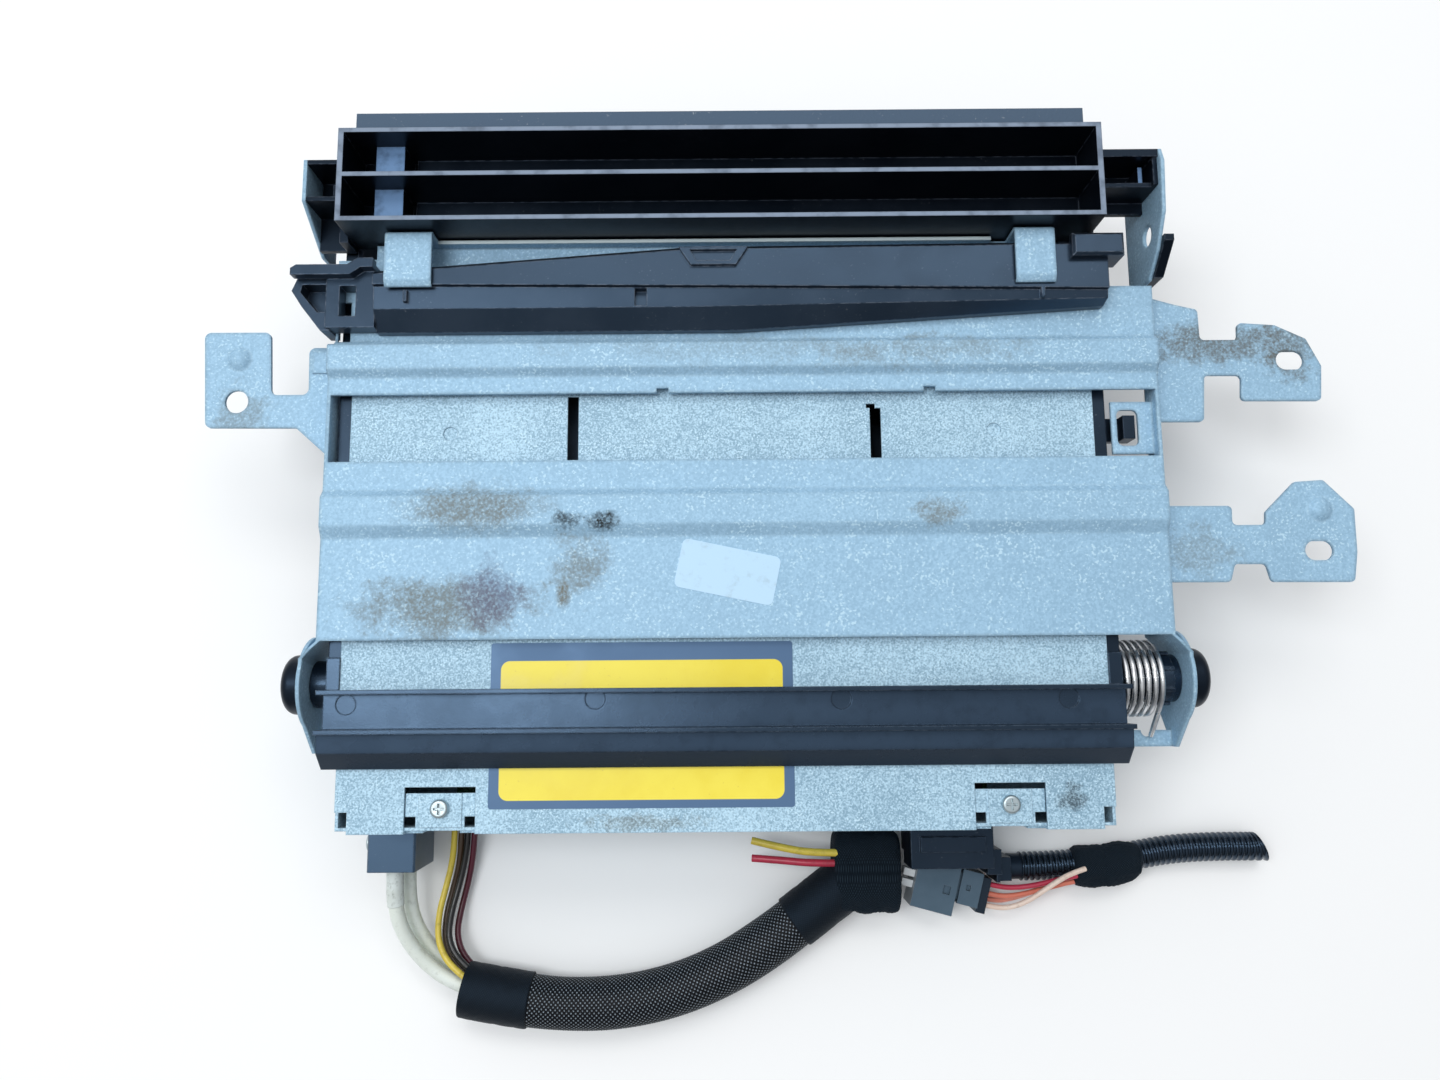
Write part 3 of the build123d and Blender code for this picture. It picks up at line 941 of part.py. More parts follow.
SIGNAL_ROUTES = (
    ((-97.07, 122.46, 8.4), (-101.33, 123.6, 8.4), (-106.5, 123.7, 9.0), (-111.6, 123.1, 9.8), (-116.7, 122.0, 10.5),
     (-121.7, 120.7, 11.0), (-126.8, 119.6, 11.1), (-131.5, 118.9, 10.8)),
    ((-96.16, 125.84, 7.2), (-100.49, 127.0, 7.2), (-105.9, 126.9, 7.3), (-111.1, 126.0, 7.6), (-116.3, 124.7, 7.8),
     (-121.4, 123.4, 8.0), (-126.6, 122.1, 8.1), (-131.5, 121.5, 8.0)),
    ((-95.1, 129.8, 8.4), (-99.8, 131.06, 8.4), (-105.6, 130.4, 9.4), (-111.0, 127.7, 11.4), (-115.9, 124.0, 13.0),
     (-120.9, 120.6, 13.8), (-126.3, 117.9, 13.6), (-131.5, 116.6, 12.7)),
    ((-95.57, 128.06, 4.6), (-99.97, 129.24, 4.6), (-105.5, 128.5, 4.5), (-110.8, 127.1, 4.4), (-116.0, 125.4, 4.4),
     (-121.2, 123.7, 4.5), (-126.5, 122.5, 4.6), (-131.5, 122.2, 4.8)),
)
CONDUIT_ROUTE = ((OUTLET_X, OUTLET_Y, OUTLET_Z), (-122.0, OUTLET_Y, OUTLET_Z), (-146.0, 114.2, OUTLET_Z),
                 (-172.5, 109.6, OUTLET_Z), (-199.2, 110.2, OUTLET_Z))


def beyond_loom_start():
    """The half of space on the loom's side of its first face."""
    first, second = (Vector(*point) for point in BRAID_ROUTE[:2])
    return Plane(origin=first, z_dir=(second - first).normalized()) * Pos(0, 0, 30) * Box(90, 90, 60)


def cords():
    """The loose leads, the braided loom, cut wires and thin wires."""
    loom_side = beyond_loom_start()
    in_tape = block(TAPE_X0, TAPE_X1, 90, 140, -5, 40)
    in_wrap = block(WRAP_X0, WRAP_X1, 90, 140, -5, 40)
    keep("white_leads", *[cord(f"white lead {number}", route, WHITE_D) - loom_side
                          for number, route in enumerate(WHITE_ROUTES, 1)])
    keep("supply_wires", *[cord(f"supply wire {number}", route, SUPPLY_D) - loom_side
                           for number, route in enumerate(SUPPLY_ROUTES, 1)])
    keep("braided_loom", cord("braided loom", BRAID_ROUTE, LOOM_D) - in_tape)
    keep("cut_wires", *[cord(f"cut wire {number}", route, STUB_D)
                        for number, route in enumerate(STUB_ROUTES, 1)])
    keep("signal_wires", *[cord(f"signal wire {number}", route, SIGNAL_D) - in_wrap
                           for number, route in enumerate(SIGNAL_ROUTES, 1)])


def loom_sleeves():
    """Shrunk sleeves over both ends of the braided loom."""
    hose = cord("sleeves, outside", BRAID_ROUTE, LOOM_D + 2 * SLEEVE_T)
    hose -= cord("sleeves, inside", BRAID_ROUTE, LOOM_D + 2 * SEAT)
    first = hose & block(SLEEVE_END, 120, 140, 180, -5, 30)
    second = hose & block(TAPE_X1, SLEEVE_TAIL, 100, 160, -5, 30)
    keep("loom_sleeves", first, second)


def loom_tape():
    """Cloth-taped bundle at the loom's end, and a second wrap round conduit and thin wires."""
    bundle = block(TAPE_X0, TAPE_X1, 101.5, 131.5, 0.3, 20.5)
    bundle = fillet(bundle.edges().filter_by(Axis.X), 6.0)
    wrap = slab([(WRAP_X1, 109.0), (WRAP_X1, 124.0), (WRAP_X0 + 4, 124.0), (WRAP_X0, 120.4), (WRAP_X0, 107.4)],
                0.1, 14.4)
    wrap = fillet(wrap.edges().filter_by(Axis.X), 1.5)
    wrap -= cord("conduit, outside", CONDUIT_ROUTE, CONDUIT_D + 2 * SEAT)
    keep("loom_tape", bundle, wrap)


def inline_connector():
    """Two mated connector housings lying askew behind the case."""
    frame = Pos(MATE_X, MATE_Y, 0) * Rot(0, 0, MATE_TILT)
    main = block(-7.7, 7.7, -8.7, 8.7, 0.4, 14.0)
    main -= block(-5.4, -2.8, -1.4, 1.6, 12.8, 15)
    for row in (-6.0, -2.2, 1.6):
        main += block(7.7, 11.8, row - 1.3, row + 1.3, 6.0, 10.5)
    mate = block(-16.6, -9.0, -8.5, 3.9, 0.4, 12.4)
    mate += block(-20.0, -16.6, -7.4, 5.4, 0.4, 10.8)
    mate += block(-9.0, -7.7, -7.0, 2.6, 2.0, 11.0)
    mate -= block(-12.8, -11.2, -3.4, -1.4, 11.2, 14)
    keep("inline_connector", frame * main, frame * mate)


def case_plug():
    """Plug in the rear header with its lever cover and stepped side outlet."""
    y0 = CASE_REAR + SHEET
    depth = 17.4
    body = block(PLUG_X0 - 1, PLUG_X1 + 1, y0 + 0.2, y0 + depth, 14.6, PLUG_Z1 + 4)
    body += block(PLUG_X0 - 1, PLUG_X1 + 1, y0 + 0.2, y0 + 13.0, 10.0, 14.6)
    body += block(PLUG_X0 + 4.4, PLUG_X1 - 4.4, CASE_REAR - 9.5, y0 + 0.2, PLUG_Z0 + 4.4, PLUG_Z1 - 4)
    body += block(PLUG_X0 + 2, PLUG_X1 - 2.2, y0 + 6.4, y0 + 11.6, PLUG_Z1 + 4, PLUG_Z1 + 5.6)
    body += block(PLUG_X0 - 6.2, PLUG_X0 - 1, y0 + 12.4, OUTLET_Y + 0.6, 3.0, 20.0)
    body += block(PLUG_X0 - 6.4, PLUG_X0 - 5.2, y0 + 13.0, OUTLET_Y + 4.0, 0.8, 16.0)
    body += block(PLUG_X0 - 11.6, PLUG_X0 - 6.4, OUTLET_Y - 4.2, OUTLET_Y + 4.2, 0.8, 12.0)
    body += rod((PLUG_X0 - 11.6, OUTLET_Y, OUTLET_Z), (OUTLET_X, OUTLET_Y, OUTLET_Z), 4.6)
    keep("case_plug", body)


def conduit():
    """Ribbed conduit from the plug's outlet through the wrap to its cut end."""
    path = FilletPolyline(*CONDUIT_ROUTE, radius=bend_radii(CONDUIT_ROUTE))
    ribs = round(path.length / CONDUIT_PITCH)
    circles = []
    bores = []
    for rib in range(ribs):
        for share, width in ((0.0, CONDUIT_VALLEY), (0.28, CONDUIT_D), (0.66, CONDUIT_D), (0.94, CONDUIT_VALLEY)):
            part = min(1.0, (rib + share) / (ribs - 0.06))
            plane = Plane(origin=path.position_at(part), x_dir=(0, 0, 1), z_dir=path.tangent_at(part))
            circles.append(plane * Circle(width / 2))
            if share in (0.0, 0.94):
                bores.append(plane * Circle(CONDUIT_BORE / 2))
    print(f"conduit: length {path.length:.1f}, ribs {ribs}, least radius {min(bend_radii(CONDUIT_ROUTE)):.0f}")
    keep("ribbed_conduit", loft(circles, ruled=True) - loft(bores, ruled=True))


# ---------------------------------------------------------------- build
case_base()
case_top_cover()
cover_label()
carrier_rails()
bezel_frame()
front_trim()
eject_button()
end_blocks()
side_plates()
rear_crossbar()
pivot_pins()
bracket_sheet()
ears()
latch_hooks()
bracket_sticker()
latch_bar()
latch_claw()
latch_tongue()
torsion_spring()
lug_height = drive_chassis()
dampers()
lift_drive(lug_height)
lift_deck()
deck_drives()
pickup()
clamp()
magazine()
main_board()
jack_screw = rear_jack()
screws = [pan_screw(side * CLIP_X, CLIP_Y, CASE_H - SHEET + 0.4, 5.0) for side in (1, -1)]
keep("cover_screws", *screws, jack_screw)
cords()
loom_sleeves()
loom_tape()
inline_connector()
case_plug()
conduit()

os.makedirs("parts", exist_ok=True)
for name, solids in pieces.items():
    bodies = [solid for shape in solids for solid in shape.solids()]
    export_step(bodies[0] if len(bodies) == 1 else Compound(bodies), f"parts/{name}.step")
print(len(pieces), "nodes")
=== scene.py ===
"""Looks of a multi disc changer with its hinged mounting bracket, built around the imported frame.

+Z is up, the front edge faces -Y and the wiring leaves towards +Y. The object's lengths are written in
millimetres and turned into metres by MM where they become geometry or texture scales. The room's are metres.
"""

import json
import math

import bpy
import numpy as np
from mathutils import Matrix, Vector


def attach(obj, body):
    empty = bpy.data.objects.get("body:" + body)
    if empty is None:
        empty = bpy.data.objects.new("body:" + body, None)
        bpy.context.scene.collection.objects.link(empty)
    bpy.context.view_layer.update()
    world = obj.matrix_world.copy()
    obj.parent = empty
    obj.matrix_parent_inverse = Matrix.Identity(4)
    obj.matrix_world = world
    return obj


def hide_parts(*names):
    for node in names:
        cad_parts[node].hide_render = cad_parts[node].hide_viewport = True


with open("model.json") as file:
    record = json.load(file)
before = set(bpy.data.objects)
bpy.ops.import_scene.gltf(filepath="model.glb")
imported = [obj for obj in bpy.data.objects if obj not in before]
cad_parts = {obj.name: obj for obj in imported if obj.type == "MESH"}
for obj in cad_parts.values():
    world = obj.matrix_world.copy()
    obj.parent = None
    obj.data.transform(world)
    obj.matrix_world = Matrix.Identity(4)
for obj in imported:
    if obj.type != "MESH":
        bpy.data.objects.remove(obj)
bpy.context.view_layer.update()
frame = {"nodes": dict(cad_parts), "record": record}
nodes = frame["nodes"]

MM = 0.001
TURN = 2 * math.pi

CAMERA_PLACE = (1.007, 50.251, 405.85)
CAMERA_TILT, CAMERA_ROLL = 8.11, 0.459
SENSOR_WIDTH, FOCAL_LENGTH = 36, 26

# the inline connector's middle and turn, and the printed panel's middle with its yellow field's half sizes
# inside the round corners
MATE_MIDDLE, MATE_TILT = (-76.4, 122.3, 0), -15.0
PANEL_MIDDLE, PANEL_STRAIGHT = (27.0, 63.3, 0), (43.2, 19.4, 0)

LEAD_D, SUPPLY_D, CUT_D, SIGNAL_D = 5.3, 2.3, 2.7, 1.9
CORE_D = 1.2
COLLAR_LENGTH, COLLAR_RADIUS, COLLAR_WRAP = 13.0, 3.0, 4.6
BRAID_RADIUS, BRAID_RISE = 8.55, 0.52
BRAID_YARNS, BRAID_PITCH = 32, 1.62
SLEEVE_RADIUS, SLEEVE_WALL, SLEEVE_START, SLEEVE_END = 9.7, 0.55, 24.6, 24.0
CONDUIT_D, CONDUIT_MIDDLE, CONDUIT_RIB, CONDUIT_BORE = 10.4, 4.8, 0.4, 3.6
RIB_PITCH, RIB_SQUARENESS = 2.1, 2.6


# ---------------------------------------------------------------- camera
def place_camera():
    """Pinhole camera over the middle of the case, tilted about its own sideways axis and rolled a little."""
    tilt, roll = math.radians(CAMERA_TILT), math.radians(CAMERA_ROLL)
    right = Vector((-1, 0, 0))
    up = Vector((0, -math.cos(tilt), math.sin(tilt)))
    away = Vector((0, -math.sin(tilt), -math.cos(tilt)))
    across = right * math.cos(roll) - up * math.sin(roll)
    upward = right * math.sin(roll) + up * math.cos(roll)
    data = bpy.data.cameras.new("photo_view")
    data.sensor_fit = "HORIZONTAL"
    data.sensor_width = SENSOR_WIDTH
    data.lens = FOCAL_LENGTH
    data.clip_start = 0.01
    camera = bpy.data.objects.new("photo_view", data)
    bpy.context.scene.collection.objects.link(camera)
    turned = Matrix((across, upward, -away)).transposed()
    camera.matrix_world = Matrix.Translation(Vector(CAMERA_PLACE) * MM) @ turned.to_4x4()
    bpy.context.scene.camera = camera


place_camera()


# ---------------------------------------------------------------- lines, grids and meshes
def route(name, points, thickness=0.0):
    """One open NURBS spline of order 3 through its end points, round where it has a thickness."""
    curve = bpy.data.curves.new(name, "CURVE")
    curve.dimensions = "3D"
    spline = curve.splines.new("NURBS")
    spline.points.add(len(points) - 1)
    placed = np.c_[np.array(points, float) * MM, np.ones(len(points))]
    spline.points.foreach_set("co", placed.astype(np.float32).ravel())
    spline.order_u = 3
    spline.use_endpoint_u = True
    spline.resolution_u = 20
    curve.bevel_depth = thickness / 2 * MM
    curve.bevel_resolution = 6
    curve.use_fill_caps = thickness > 0
    return curve


def read_line(name, points):
    """The route's own spline as dense points, read from a curve that has no bevel."""
    bare = bpy.data.objects.new(name + "_line", route(name + "_line", points))
    mesh = bpy.data.meshes.new_from_object(bare)
    line = np.empty(len(mesh.vertices) * 3, np.float32)
    mesh.vertices.foreach_get("co", line)
    bpy.data.objects.remove(bare)
    bpy.data.meshes.remove(mesh)
    return line.reshape(-1, 3).astype(float)


def run_length(line):
    """Distance along the line at each of its points."""
    return np.concatenate([[0], np.cumsum(np.linalg.norm(np.diff(line, axis=0), axis=1))])


def points_at(line, along):
    """The line's points at these distances from its start."""
    run = run_length(line)
    return np.stack([np.interp(along, run, line[:, k]) for k in range(3)], axis=1)


def unit(vectors):
    """The vectors scaled to length one."""
    return vectors / np.linalg.norm(vectors, axis=-1, keepdims=True)


def ring_frames(line):
    """Tangent by central differences, sideways as the vertical crossed with it, and the third direction."""
    tangent = unit(np.gradient(line, axis=0))
    sideways = unit(np.cross((0.0, 0.0, 1.0), tangent))
    return tangent, sideways, np.cross(tangent, sideways)


def tube_points(line, radius, angle):
    """Rings round the line: centre + radius * (cos(angle) sideways + sin(angle) upwards)."""
    _, sideways, upwards = ring_frames(line)
    turned = angle[None, :, None]
    around = np.cos(turned) * sideways[:, None] + np.sin(turned) * upwards[:, None]
    reach = np.broadcast_to(radius, (len(line), len(angle)))[..., None]
    return line[:, None] + reach * around


def link(name, data, material):
    """An object at the origin that takes a finish and moves with the changer's own body."""
    piece = bpy.data.objects.new(name, data)
    bpy.context.scene.collection.objects.link(piece)
    data.materials.append(material)
    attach(piece, "changer")
    return piece


def ring_surface(points, closed_rows=False):
    """Vertices, quads and end triangles of a grid of rings.

    Quads join neighbours, and the last column joins the first. The two end rings are closed by fans to their
    centres, or joined to each other with closed_rows. The whole skin is turned outwards if its signed volume,
    the sum of a . (b x c) / 6 over its triangles, comes out negative.
    """
    rows, columns = points.shape[:2]
    top = rows if closed_rows else rows - 1
    row, column = np.meshgrid(np.arange(top), np.arange(columns), indexing="ij")
    here, after = row * columns, (row + 1) % rows * columns
    beside = (column + 1) % columns
    quads = np.stack([here + column, here + beside, after + beside, after + column], axis=-1).reshape(-1, 4)
    places = points.reshape(-1, 3)
    fans = np.zeros((0, 3), int)
    if not closed_rows:
        ring = np.arange(columns)
        following = (ring + 1) % columns
        first_centre, last_centre, last_ring = rows * columns, rows * columns + 1, (rows - 1) * columns
        near = np.stack([np.full(columns, first_centre), following, ring], axis=1)
        far = np.stack([np.full(columns, last_centre), last_ring + ring, last_ring + following], axis=1)
        fans = np.vstack([near, far])
        places = np.vstack([places, points[0].mean(0), points[-1].mean(0)])
    a, b, c, d = (places[quads[:, k]] for k in range(4))
    e, f, g = (places[fans[:, k]] for k in range(3))
    volume = (a * np.cross(b, c)).sum() + (a * np.cross(c, d)).sum() + (e * np.cross(f, g)).sum()
    if volume < 0:
        quads, fans = quads[:, ::-1], fans[:, ::-1]
    return places, quads, fans


def smooth_mesh(name, places, faces):
    """A mesh of these vertices and faces, shaded smooth."""
    mesh = bpy.data.meshes.new(name)
    mesh.from_pydata(places.tolist(), [], faces)
    mesh.polygons.foreach_set("use_smooth", np.ones(len(mesh.polygons), bool))
    return mesh


def rounded_mesh(name, points, closed_rows=False, along=None, masks=None):
    """Mesh of a grid of rings, with a run map where along is given and values kept at its vertices.

    The run map holds the distance along and the share of a turn round the ring, which reads one at the far
    side of its seam.
    """
    places, quads, fans = ring_surface(points, closed_rows)
    mesh = smooth_mesh(name, places, quads.tolist() + fans.tolist())
    rows, columns = points.shape[:2]
    centres = len(places) - rows * columns
    if along is not None:
        corner = np.concatenate([quads.ravel(), fans.ravel()])
        u = np.concatenate([np.repeat(along, columns), [along[0], along[-1]][:centres]])
        v = np.concatenate([np.tile(np.arange(columns) / columns, rows), np.zeros(centres)])
        share = v[corner]
        seam = (quads % columns == 0) & ((quads % columns).max(1, keepdims=True) == columns - 1)
        share[: quads.size][seam.ravel()] = 1.0
        layer = mesh.uv_layers.new(name="run")
        layer.data.foreach_set("uv", np.stack([u[corner], share], axis=1).astype(np.float32).ravel())
    for key, values in (masks or {}).items():
        attribute = mesh.attributes.new(key, "FLOAT", "POINT")
        filled = np.concatenate([values.ravel(), np.zeros(centres)])
        attribute.data.foreach_set("value", filled.astype(np.float32))
    mesh.update()
    return mesh


def lumps(places, size, seed, waves=14):
    """Smooth uneven height, about -1 to 1: a sum of seeded sine waves, each about this many metres long."""
    chance = np.random.default_rng(seed)
    directions = unit(chance.normal(size=(waves, 3))) * TURN / size * chance.uniform(0.6, 1.6, (waves, 1))
    phases = chance.uniform(0, TURN, waves)
    return np.sin(places @ directions.T + phases).sum(-1) / math.sqrt(waves)


# ---------------------------------------------------------------- short ways to write shader nodes
def fill(tree, node, values):
    """Sets a node's sockets to plain values, or joins them to other nodes' outputs."""
    for key, value in values.items():
        if isinstance(value, bpy.types.NodeSocket):
            tree.links.new(value, node.inputs[key])
        else:
            node.inputs[key].default_value = value


def put(tree, kind, values=None, **settings):
    """A new node with its settings and its sockets' values."""
    node = tree.nodes.new("ShaderNode" + kind)
    for key, value in settings.items():
        setattr(node, key, value)
    fill(tree, node, values or {})
    return node


def mixed(tree, mask, first, second):
    """Colour that goes from the first to the second where the mask is one.

    The node keeps its factor at socket 0, its two colours at 6 and 7, and the mixed colour at output 2.
    """
    colours = (c if isinstance(c, bpy.types.NodeSocket) else (*c, 1) for c in (first, second))
    return put(tree, "Mix", dict(zip((0, 6, 7), (mask, *colours))), data_type="RGBA").outputs[2]


def stretch(tree, value, low, high, out_low=0.0, out_high=1.0):
    """Smooth step of a value between two levels."""
    values = {"Value": value, "From Min": low, "From Max": high, "To Min": out_low, "To Max": out_high}
    return put(tree, "MapRange", values, interpolation_type="SMOOTHSTEP").outputs[0]


def calc(tree, operation, first, second=0.0):
    """Result of one sum on two values."""
    return put(tree, "Math", {0: first, 1: second}, operation=operation).outputs[0]


def vector(tree, operation, first, second=(0, 0, 0), out="Vector"):
    """Result of one sum on two vectors, or the Value that some of them give."""
    return put(tree, "VectorMath", {0: first, 1: second}, operation=operation).outputs[out]


def noise(tree, place, cell, detail=3.0, rough=0.55):
    """Noise whose features are about this many millimetres wide."""
    values = {"Vector": place, "Scale": 1 / (cell * MM), "Detail": detail, "Roughness": rough}
    return put(tree, "TexNoise", values).outputs[0]


def group(name, inputs, outputs):
    """An empty shared group with named sockets, and its inside ends."""
    tree = bpy.data.node_groups.new(name, "ShaderNodeTree")
    for key, kind, value in inputs:
        socket = tree.interface.new_socket(key, in_out="INPUT", socket_type="NodeSocket" + kind)
        if value is not None:
            socket.default_value = value
    for key, kind in outputs:
        tree.interface.new_socket(key, in_out="OUTPUT", socket_type="NodeSocket" + kind)
    return tree, tree.nodes.new("NodeGroupInput").outputs, tree.nodes.new("NodeGroupOutput")


def give(tree, out, **results):
    """Joins a shared group's results to its outputs."""
    for key, value in results.items():
        tree.links.new(value, out.inputs[key])


def shared(tree, made, values):
    """One use of a shared group."""
    return put(tree, "Group", values, node_tree=made).outputs


# ---------------------------------------------------------------- shared effects
def make_worn_lit_edge():
    """Mask where the rounded normal leaves the flat one, broken up by noise, and the rounded normal."""
    # the mask lightens worn edges, and on the plastics it also paints a highlight along them
    tree, given, out = group(
        "worn edge",
        [("Place", "Vector", None), ("Round", "Float", 0.4)],
        [("Mask", "Float"), ("Normal", "Vector")],
    )
    radius = calc(tree, "MULTIPLY", given["Round"], MM)
    bevel = put(tree, "Bevel", {"Radius": radius}, samples=4)
    flat = put(tree, "NewGeometry").outputs["Normal"]
    dot = vector(tree, "DOT_PRODUCT", bevel.outputs[0], flat, "Value")
    edge = stretch(tree, dot, 0.995, 0.86)
    broken = stretch(tree, noise(tree, given["Place"], 2.4), 0.36, 0.6)
    give(tree, out, Mask=calc(tree, "MULTIPLY", edge, broken), Normal=bevel.outputs[0])
    return tree


def make_mottle():
    """Bare plated sheet: tone of its small crystals, pale specks in loose clusters, and their height."""
    tree, given, out = group(
        "plated mottle",
        [("Place", "Vector", None), ("Cell", "Float", 1.0), ("Specks", "Float", 0.5)],
        [("Tone", "Float"), ("Speck", "Float"), ("Height", "Float")],
    )
    size = calc(tree, "DIVIDE", 1 / MM, given["Cell"])
    crystals = put(tree, "TexVoronoi", {"Vector": given["Place"], "Scale": size, "Randomness": 1.0})
    shade = put(tree, "RGBToBW", {"Color": crystals.outputs["Color"]}).outputs[0]
    cloudy = put(tree, "TexNoise", {"Vector": given["Place"], "Scale": size, "Detail": 4.0}).outputs[0]
    tone = calc(tree, "ADD", calc(tree, "MULTIPLY", shade, 0.35), calc(tree, "MULTIPLY", cloudy, 0.8))
    clusters = stretch(tree, noise(tree, given["Place"], 9.0, 4.0), 0.46, 0.66)
    dots = put(tree, "TexNoise", {"Vector": given["Place"], "Scale": size, "Detail": 1.0, "Roughness": 0.3})
    limit = calc(tree, "SUBTRACT", 0.74, calc(tree, "MULTIPLY", given["Specks"], 0.16))
    level = calc(tree, "SUBTRACT", dots.outputs[0], limit)
    above = stretch(tree, calc(tree, "ADD", level, calc(tree, "MULTIPLY", clusters, 0.1)), 0.0, 0.07)
    give(tree, out, Tone=tone, Speck=above, Height=cloudy)
    return tree


def make_grain():
    """Fine moulded grain: height of small pits, and a soft handling cloud that dulls the surface."""
    tree, given, out = group(
        "moulded grain",
        [("Place", "Vector", None), ("Pitch", "Float", 0.4)],
        [("Height", "Float"), ("Cloud", "Float"), ("Dust", "Float")],
    )
    size = calc(tree, "DIVIDE", 1 / MM, given["Pitch"])
    pits = put(tree, "TexNoise", {"Vector": given["Place"], "Scale": size, "Detail": 2.0}).outputs[0]
    cloud = stretch(tree, noise(tree, given["Place"], 26.0, 5.0, 0.62), 0.35, 0.7)
    specks = stretch(tree, noise(tree, given["Place"], 0.9, 2.0), 0.66, 0.74)
    patches = stretch(tree, noise(tree, given["Place"], 14.0, 3.0), 0.42, 0.68)
    give(tree, out, Height=pits, Cloud=cloud, Dust=calc(tree, "MULTIPLY", specks, patches))
    return tree


def make_spot():
    """Ragged soft spot: one inside an ellipsoid, its distance shaken by noise."""
    tree, given, out = group(
        "soft spot",
        [
            ("Place", "Vector", None),
            ("Centre", "Vector", (0, 0, 0)),
            ("Size", "Vector", (1, 1, 1)),
            ("Ragged", "Float", 0.8),
        ],
        [("Mask", "Float")],
    )
    apart = vector(tree, "SUBTRACT", given["Place"], given["Centre"])
    reach = vector(tree, "LENGTH", vector(tree, "DIVIDE", apart, given["Size"]), out="Value")
    coarse = calc(tree, "SUBTRACT", noise(tree, given["Place"], 9.0, 5.0, 0.7), 0.5)
    fine = calc(tree, "SUBTRACT", noise(tree, given["Place"], 1.3, 2.0), 0.5)
    shake = calc(tree, "ADD", calc(tree, "MULTIPLY", coarse, 2.4), calc(tree, "MULTIPLY", fine, 0.6))
    shaken = calc(tree, "ADD", reach, calc(tree, "MULTIPLY", shake, given["Ragged"]))
    give(tree, out, Mask=stretch(tree, shaken, 1.2, 0.3))
    return tree


WORN_LIT_EDGE = make_worn_lit_edge()
MOTTLE = make_mottle()
GRAIN = make_grain()
SPOT = make_spot()


# ---------------------------------------------------------------- finishes
def start(name, **constants):
    """A material with its shader, the constants set on the shader's own sockets, and object coordinates."""
    material = bpy.data.materials.new(name)
    material.use_nodes = True
    tree = material.node_tree
    shader = tree.nodes["Principled BSDF"]
    for key, value in constants.items():
        shader.inputs[key.replace("_", " ")].default_value = value
    place = put(tree, "TexCoord").outputs["Object"]
    return material, tree, shader, place


def feed(tree, shader, colour, roughness=None, height=None, depth=0.0, normal=None):
    """Joins the colour, roughness and relief to the shader. depth is the relief's height in millimetres."""
    tree.links.new(colour, shader.inputs["Base Color"])
    if roughness is not None:
        tree.links.new(roughness, shader.inputs["Roughness"])
    if height is not None:
        values = {"Height": height, "Distance": depth * MM, "Strength": 1.0}
        if normal is not None:
            values["Normal"] = normal
        normal = put(tree, "Bump", values).outputs[0]
    if normal is not None:
        tree.links.new(normal, shader.inputs["Normal"])


def spot(tree, place, centre, size, ragged=0.8):
    """Mask of one soft spot, its centre and half sizes in millimetres."""
    values = {
        "Place": place,
        "Centre": tuple(c * MM for c in centre),
        "Size": tuple(s * MM for s in size),
        "Ragged": ragged,
    }
    return shared(tree, SPOT, values)["Mask"]


def level_mask(tree, place, height):
    """One on faces that look up, in the piece's own frame, and lie at this height in millimetres."""
    level = put(tree, "SeparateXYZ", {0: place}).outputs["Z"]
    normal = put(tree, "NewGeometry").outputs["Normal"]
    own = put(
        tree, "VectorTransform", {0: normal}, vector_type="NORMAL", convert_from="WORLD", convert_to="OBJECT"
    ).outputs[0]
    facing = put(tree, "SeparateXYZ", {0: own}).outputs["Z"]
    above = stretch(tree, level, (height - 0.5) * MM, (height - 0.1) * MM)
    below = stretch(tree, level, (height + 0.5) * MM, (height + 0.1) * MM)
    return calc(tree, "MULTIPLY", stretch(tree, facing, 0.8, 0.95), calc(tree, "MULTIPLY", above, below))


def plated_sheet(name, dark, light, pale, cell, specks, depth, round_mm, stains=(), bare_glint_edge=None):
    """Zinc-plated steel: crystal tones, pale specks, rounded edges paled by wear and its own stains.

    The last argument is the height in millimetres of an upright flange's sheared top, painted pale: bare
    steel with a painted glint of light on it.
    """
    material, tree, shader, place = start(name, Metallic=0.12, Roughness=0.56, Specular_IOR_Level=0.35)
    parts = shared(tree, MOTTLE, {"Place": place, "Cell": cell, "Specks": specks})
    edge = shared(tree, WORN_LIT_EDGE, {"Place": place, "Round": round_mm})
    wide = stretch(tree, noise(tree, place, 42.0, 3.0), 0.3, 0.72)
    tone = calc(tree, "ADD", stretch(tree, parts["Tone"], 0.28, 0.86), calc(tree, "MULTIPLY", wide, 0.35))
    colour = mixed(tree, stretch(tree, tone, 0.1, 1.25), dark, light)
    colour = mixed(tree, parts["Speck"], colour, pale)
    colour = mixed(tree, calc(tree, "MULTIPLY", edge["Mask"], 0.55), colour, pale)
    dull = calc(tree, "MULTIPLY", parts["Speck"], 0.12)
    for tint, centre, size, ragged, strength in stains:
        mask = calc(tree, "MULTIPLY", spot(tree, place, centre, size, ragged), strength)
        broken = calc(tree, "MULTIPLY", mask, stretch(tree, parts["Tone"], 0.82, 0.4, 0.4, 1.0))
        colour = mixed(tree, broken, colour, tint)
        dull = calc(tree, "MAXIMUM", dull, calc(tree, "MULTIPLY", mask, 0.3))
    if bare_glint_edge is not None:
        # painted glint: the flange's up-facing sheared top at that height is painted pale, as bare steel
        # catching the light
        colour = mixed(tree, level_mask(tree, place, bare_glint_edge), colour, (0.72, 0.84, 0.88))
    roughness = calc(tree, "ADD", stretch(tree, wide, 0.0, 1.0, 0.5, 0.58), dull)
    feed(tree, shader, colour, roughness, parts["Height"], depth, edge["Normal"])
    return material


SKY_TINT = (0.42, 0.66, 1.0, 1)  # gloss on dark plastic shows the blue of the sky


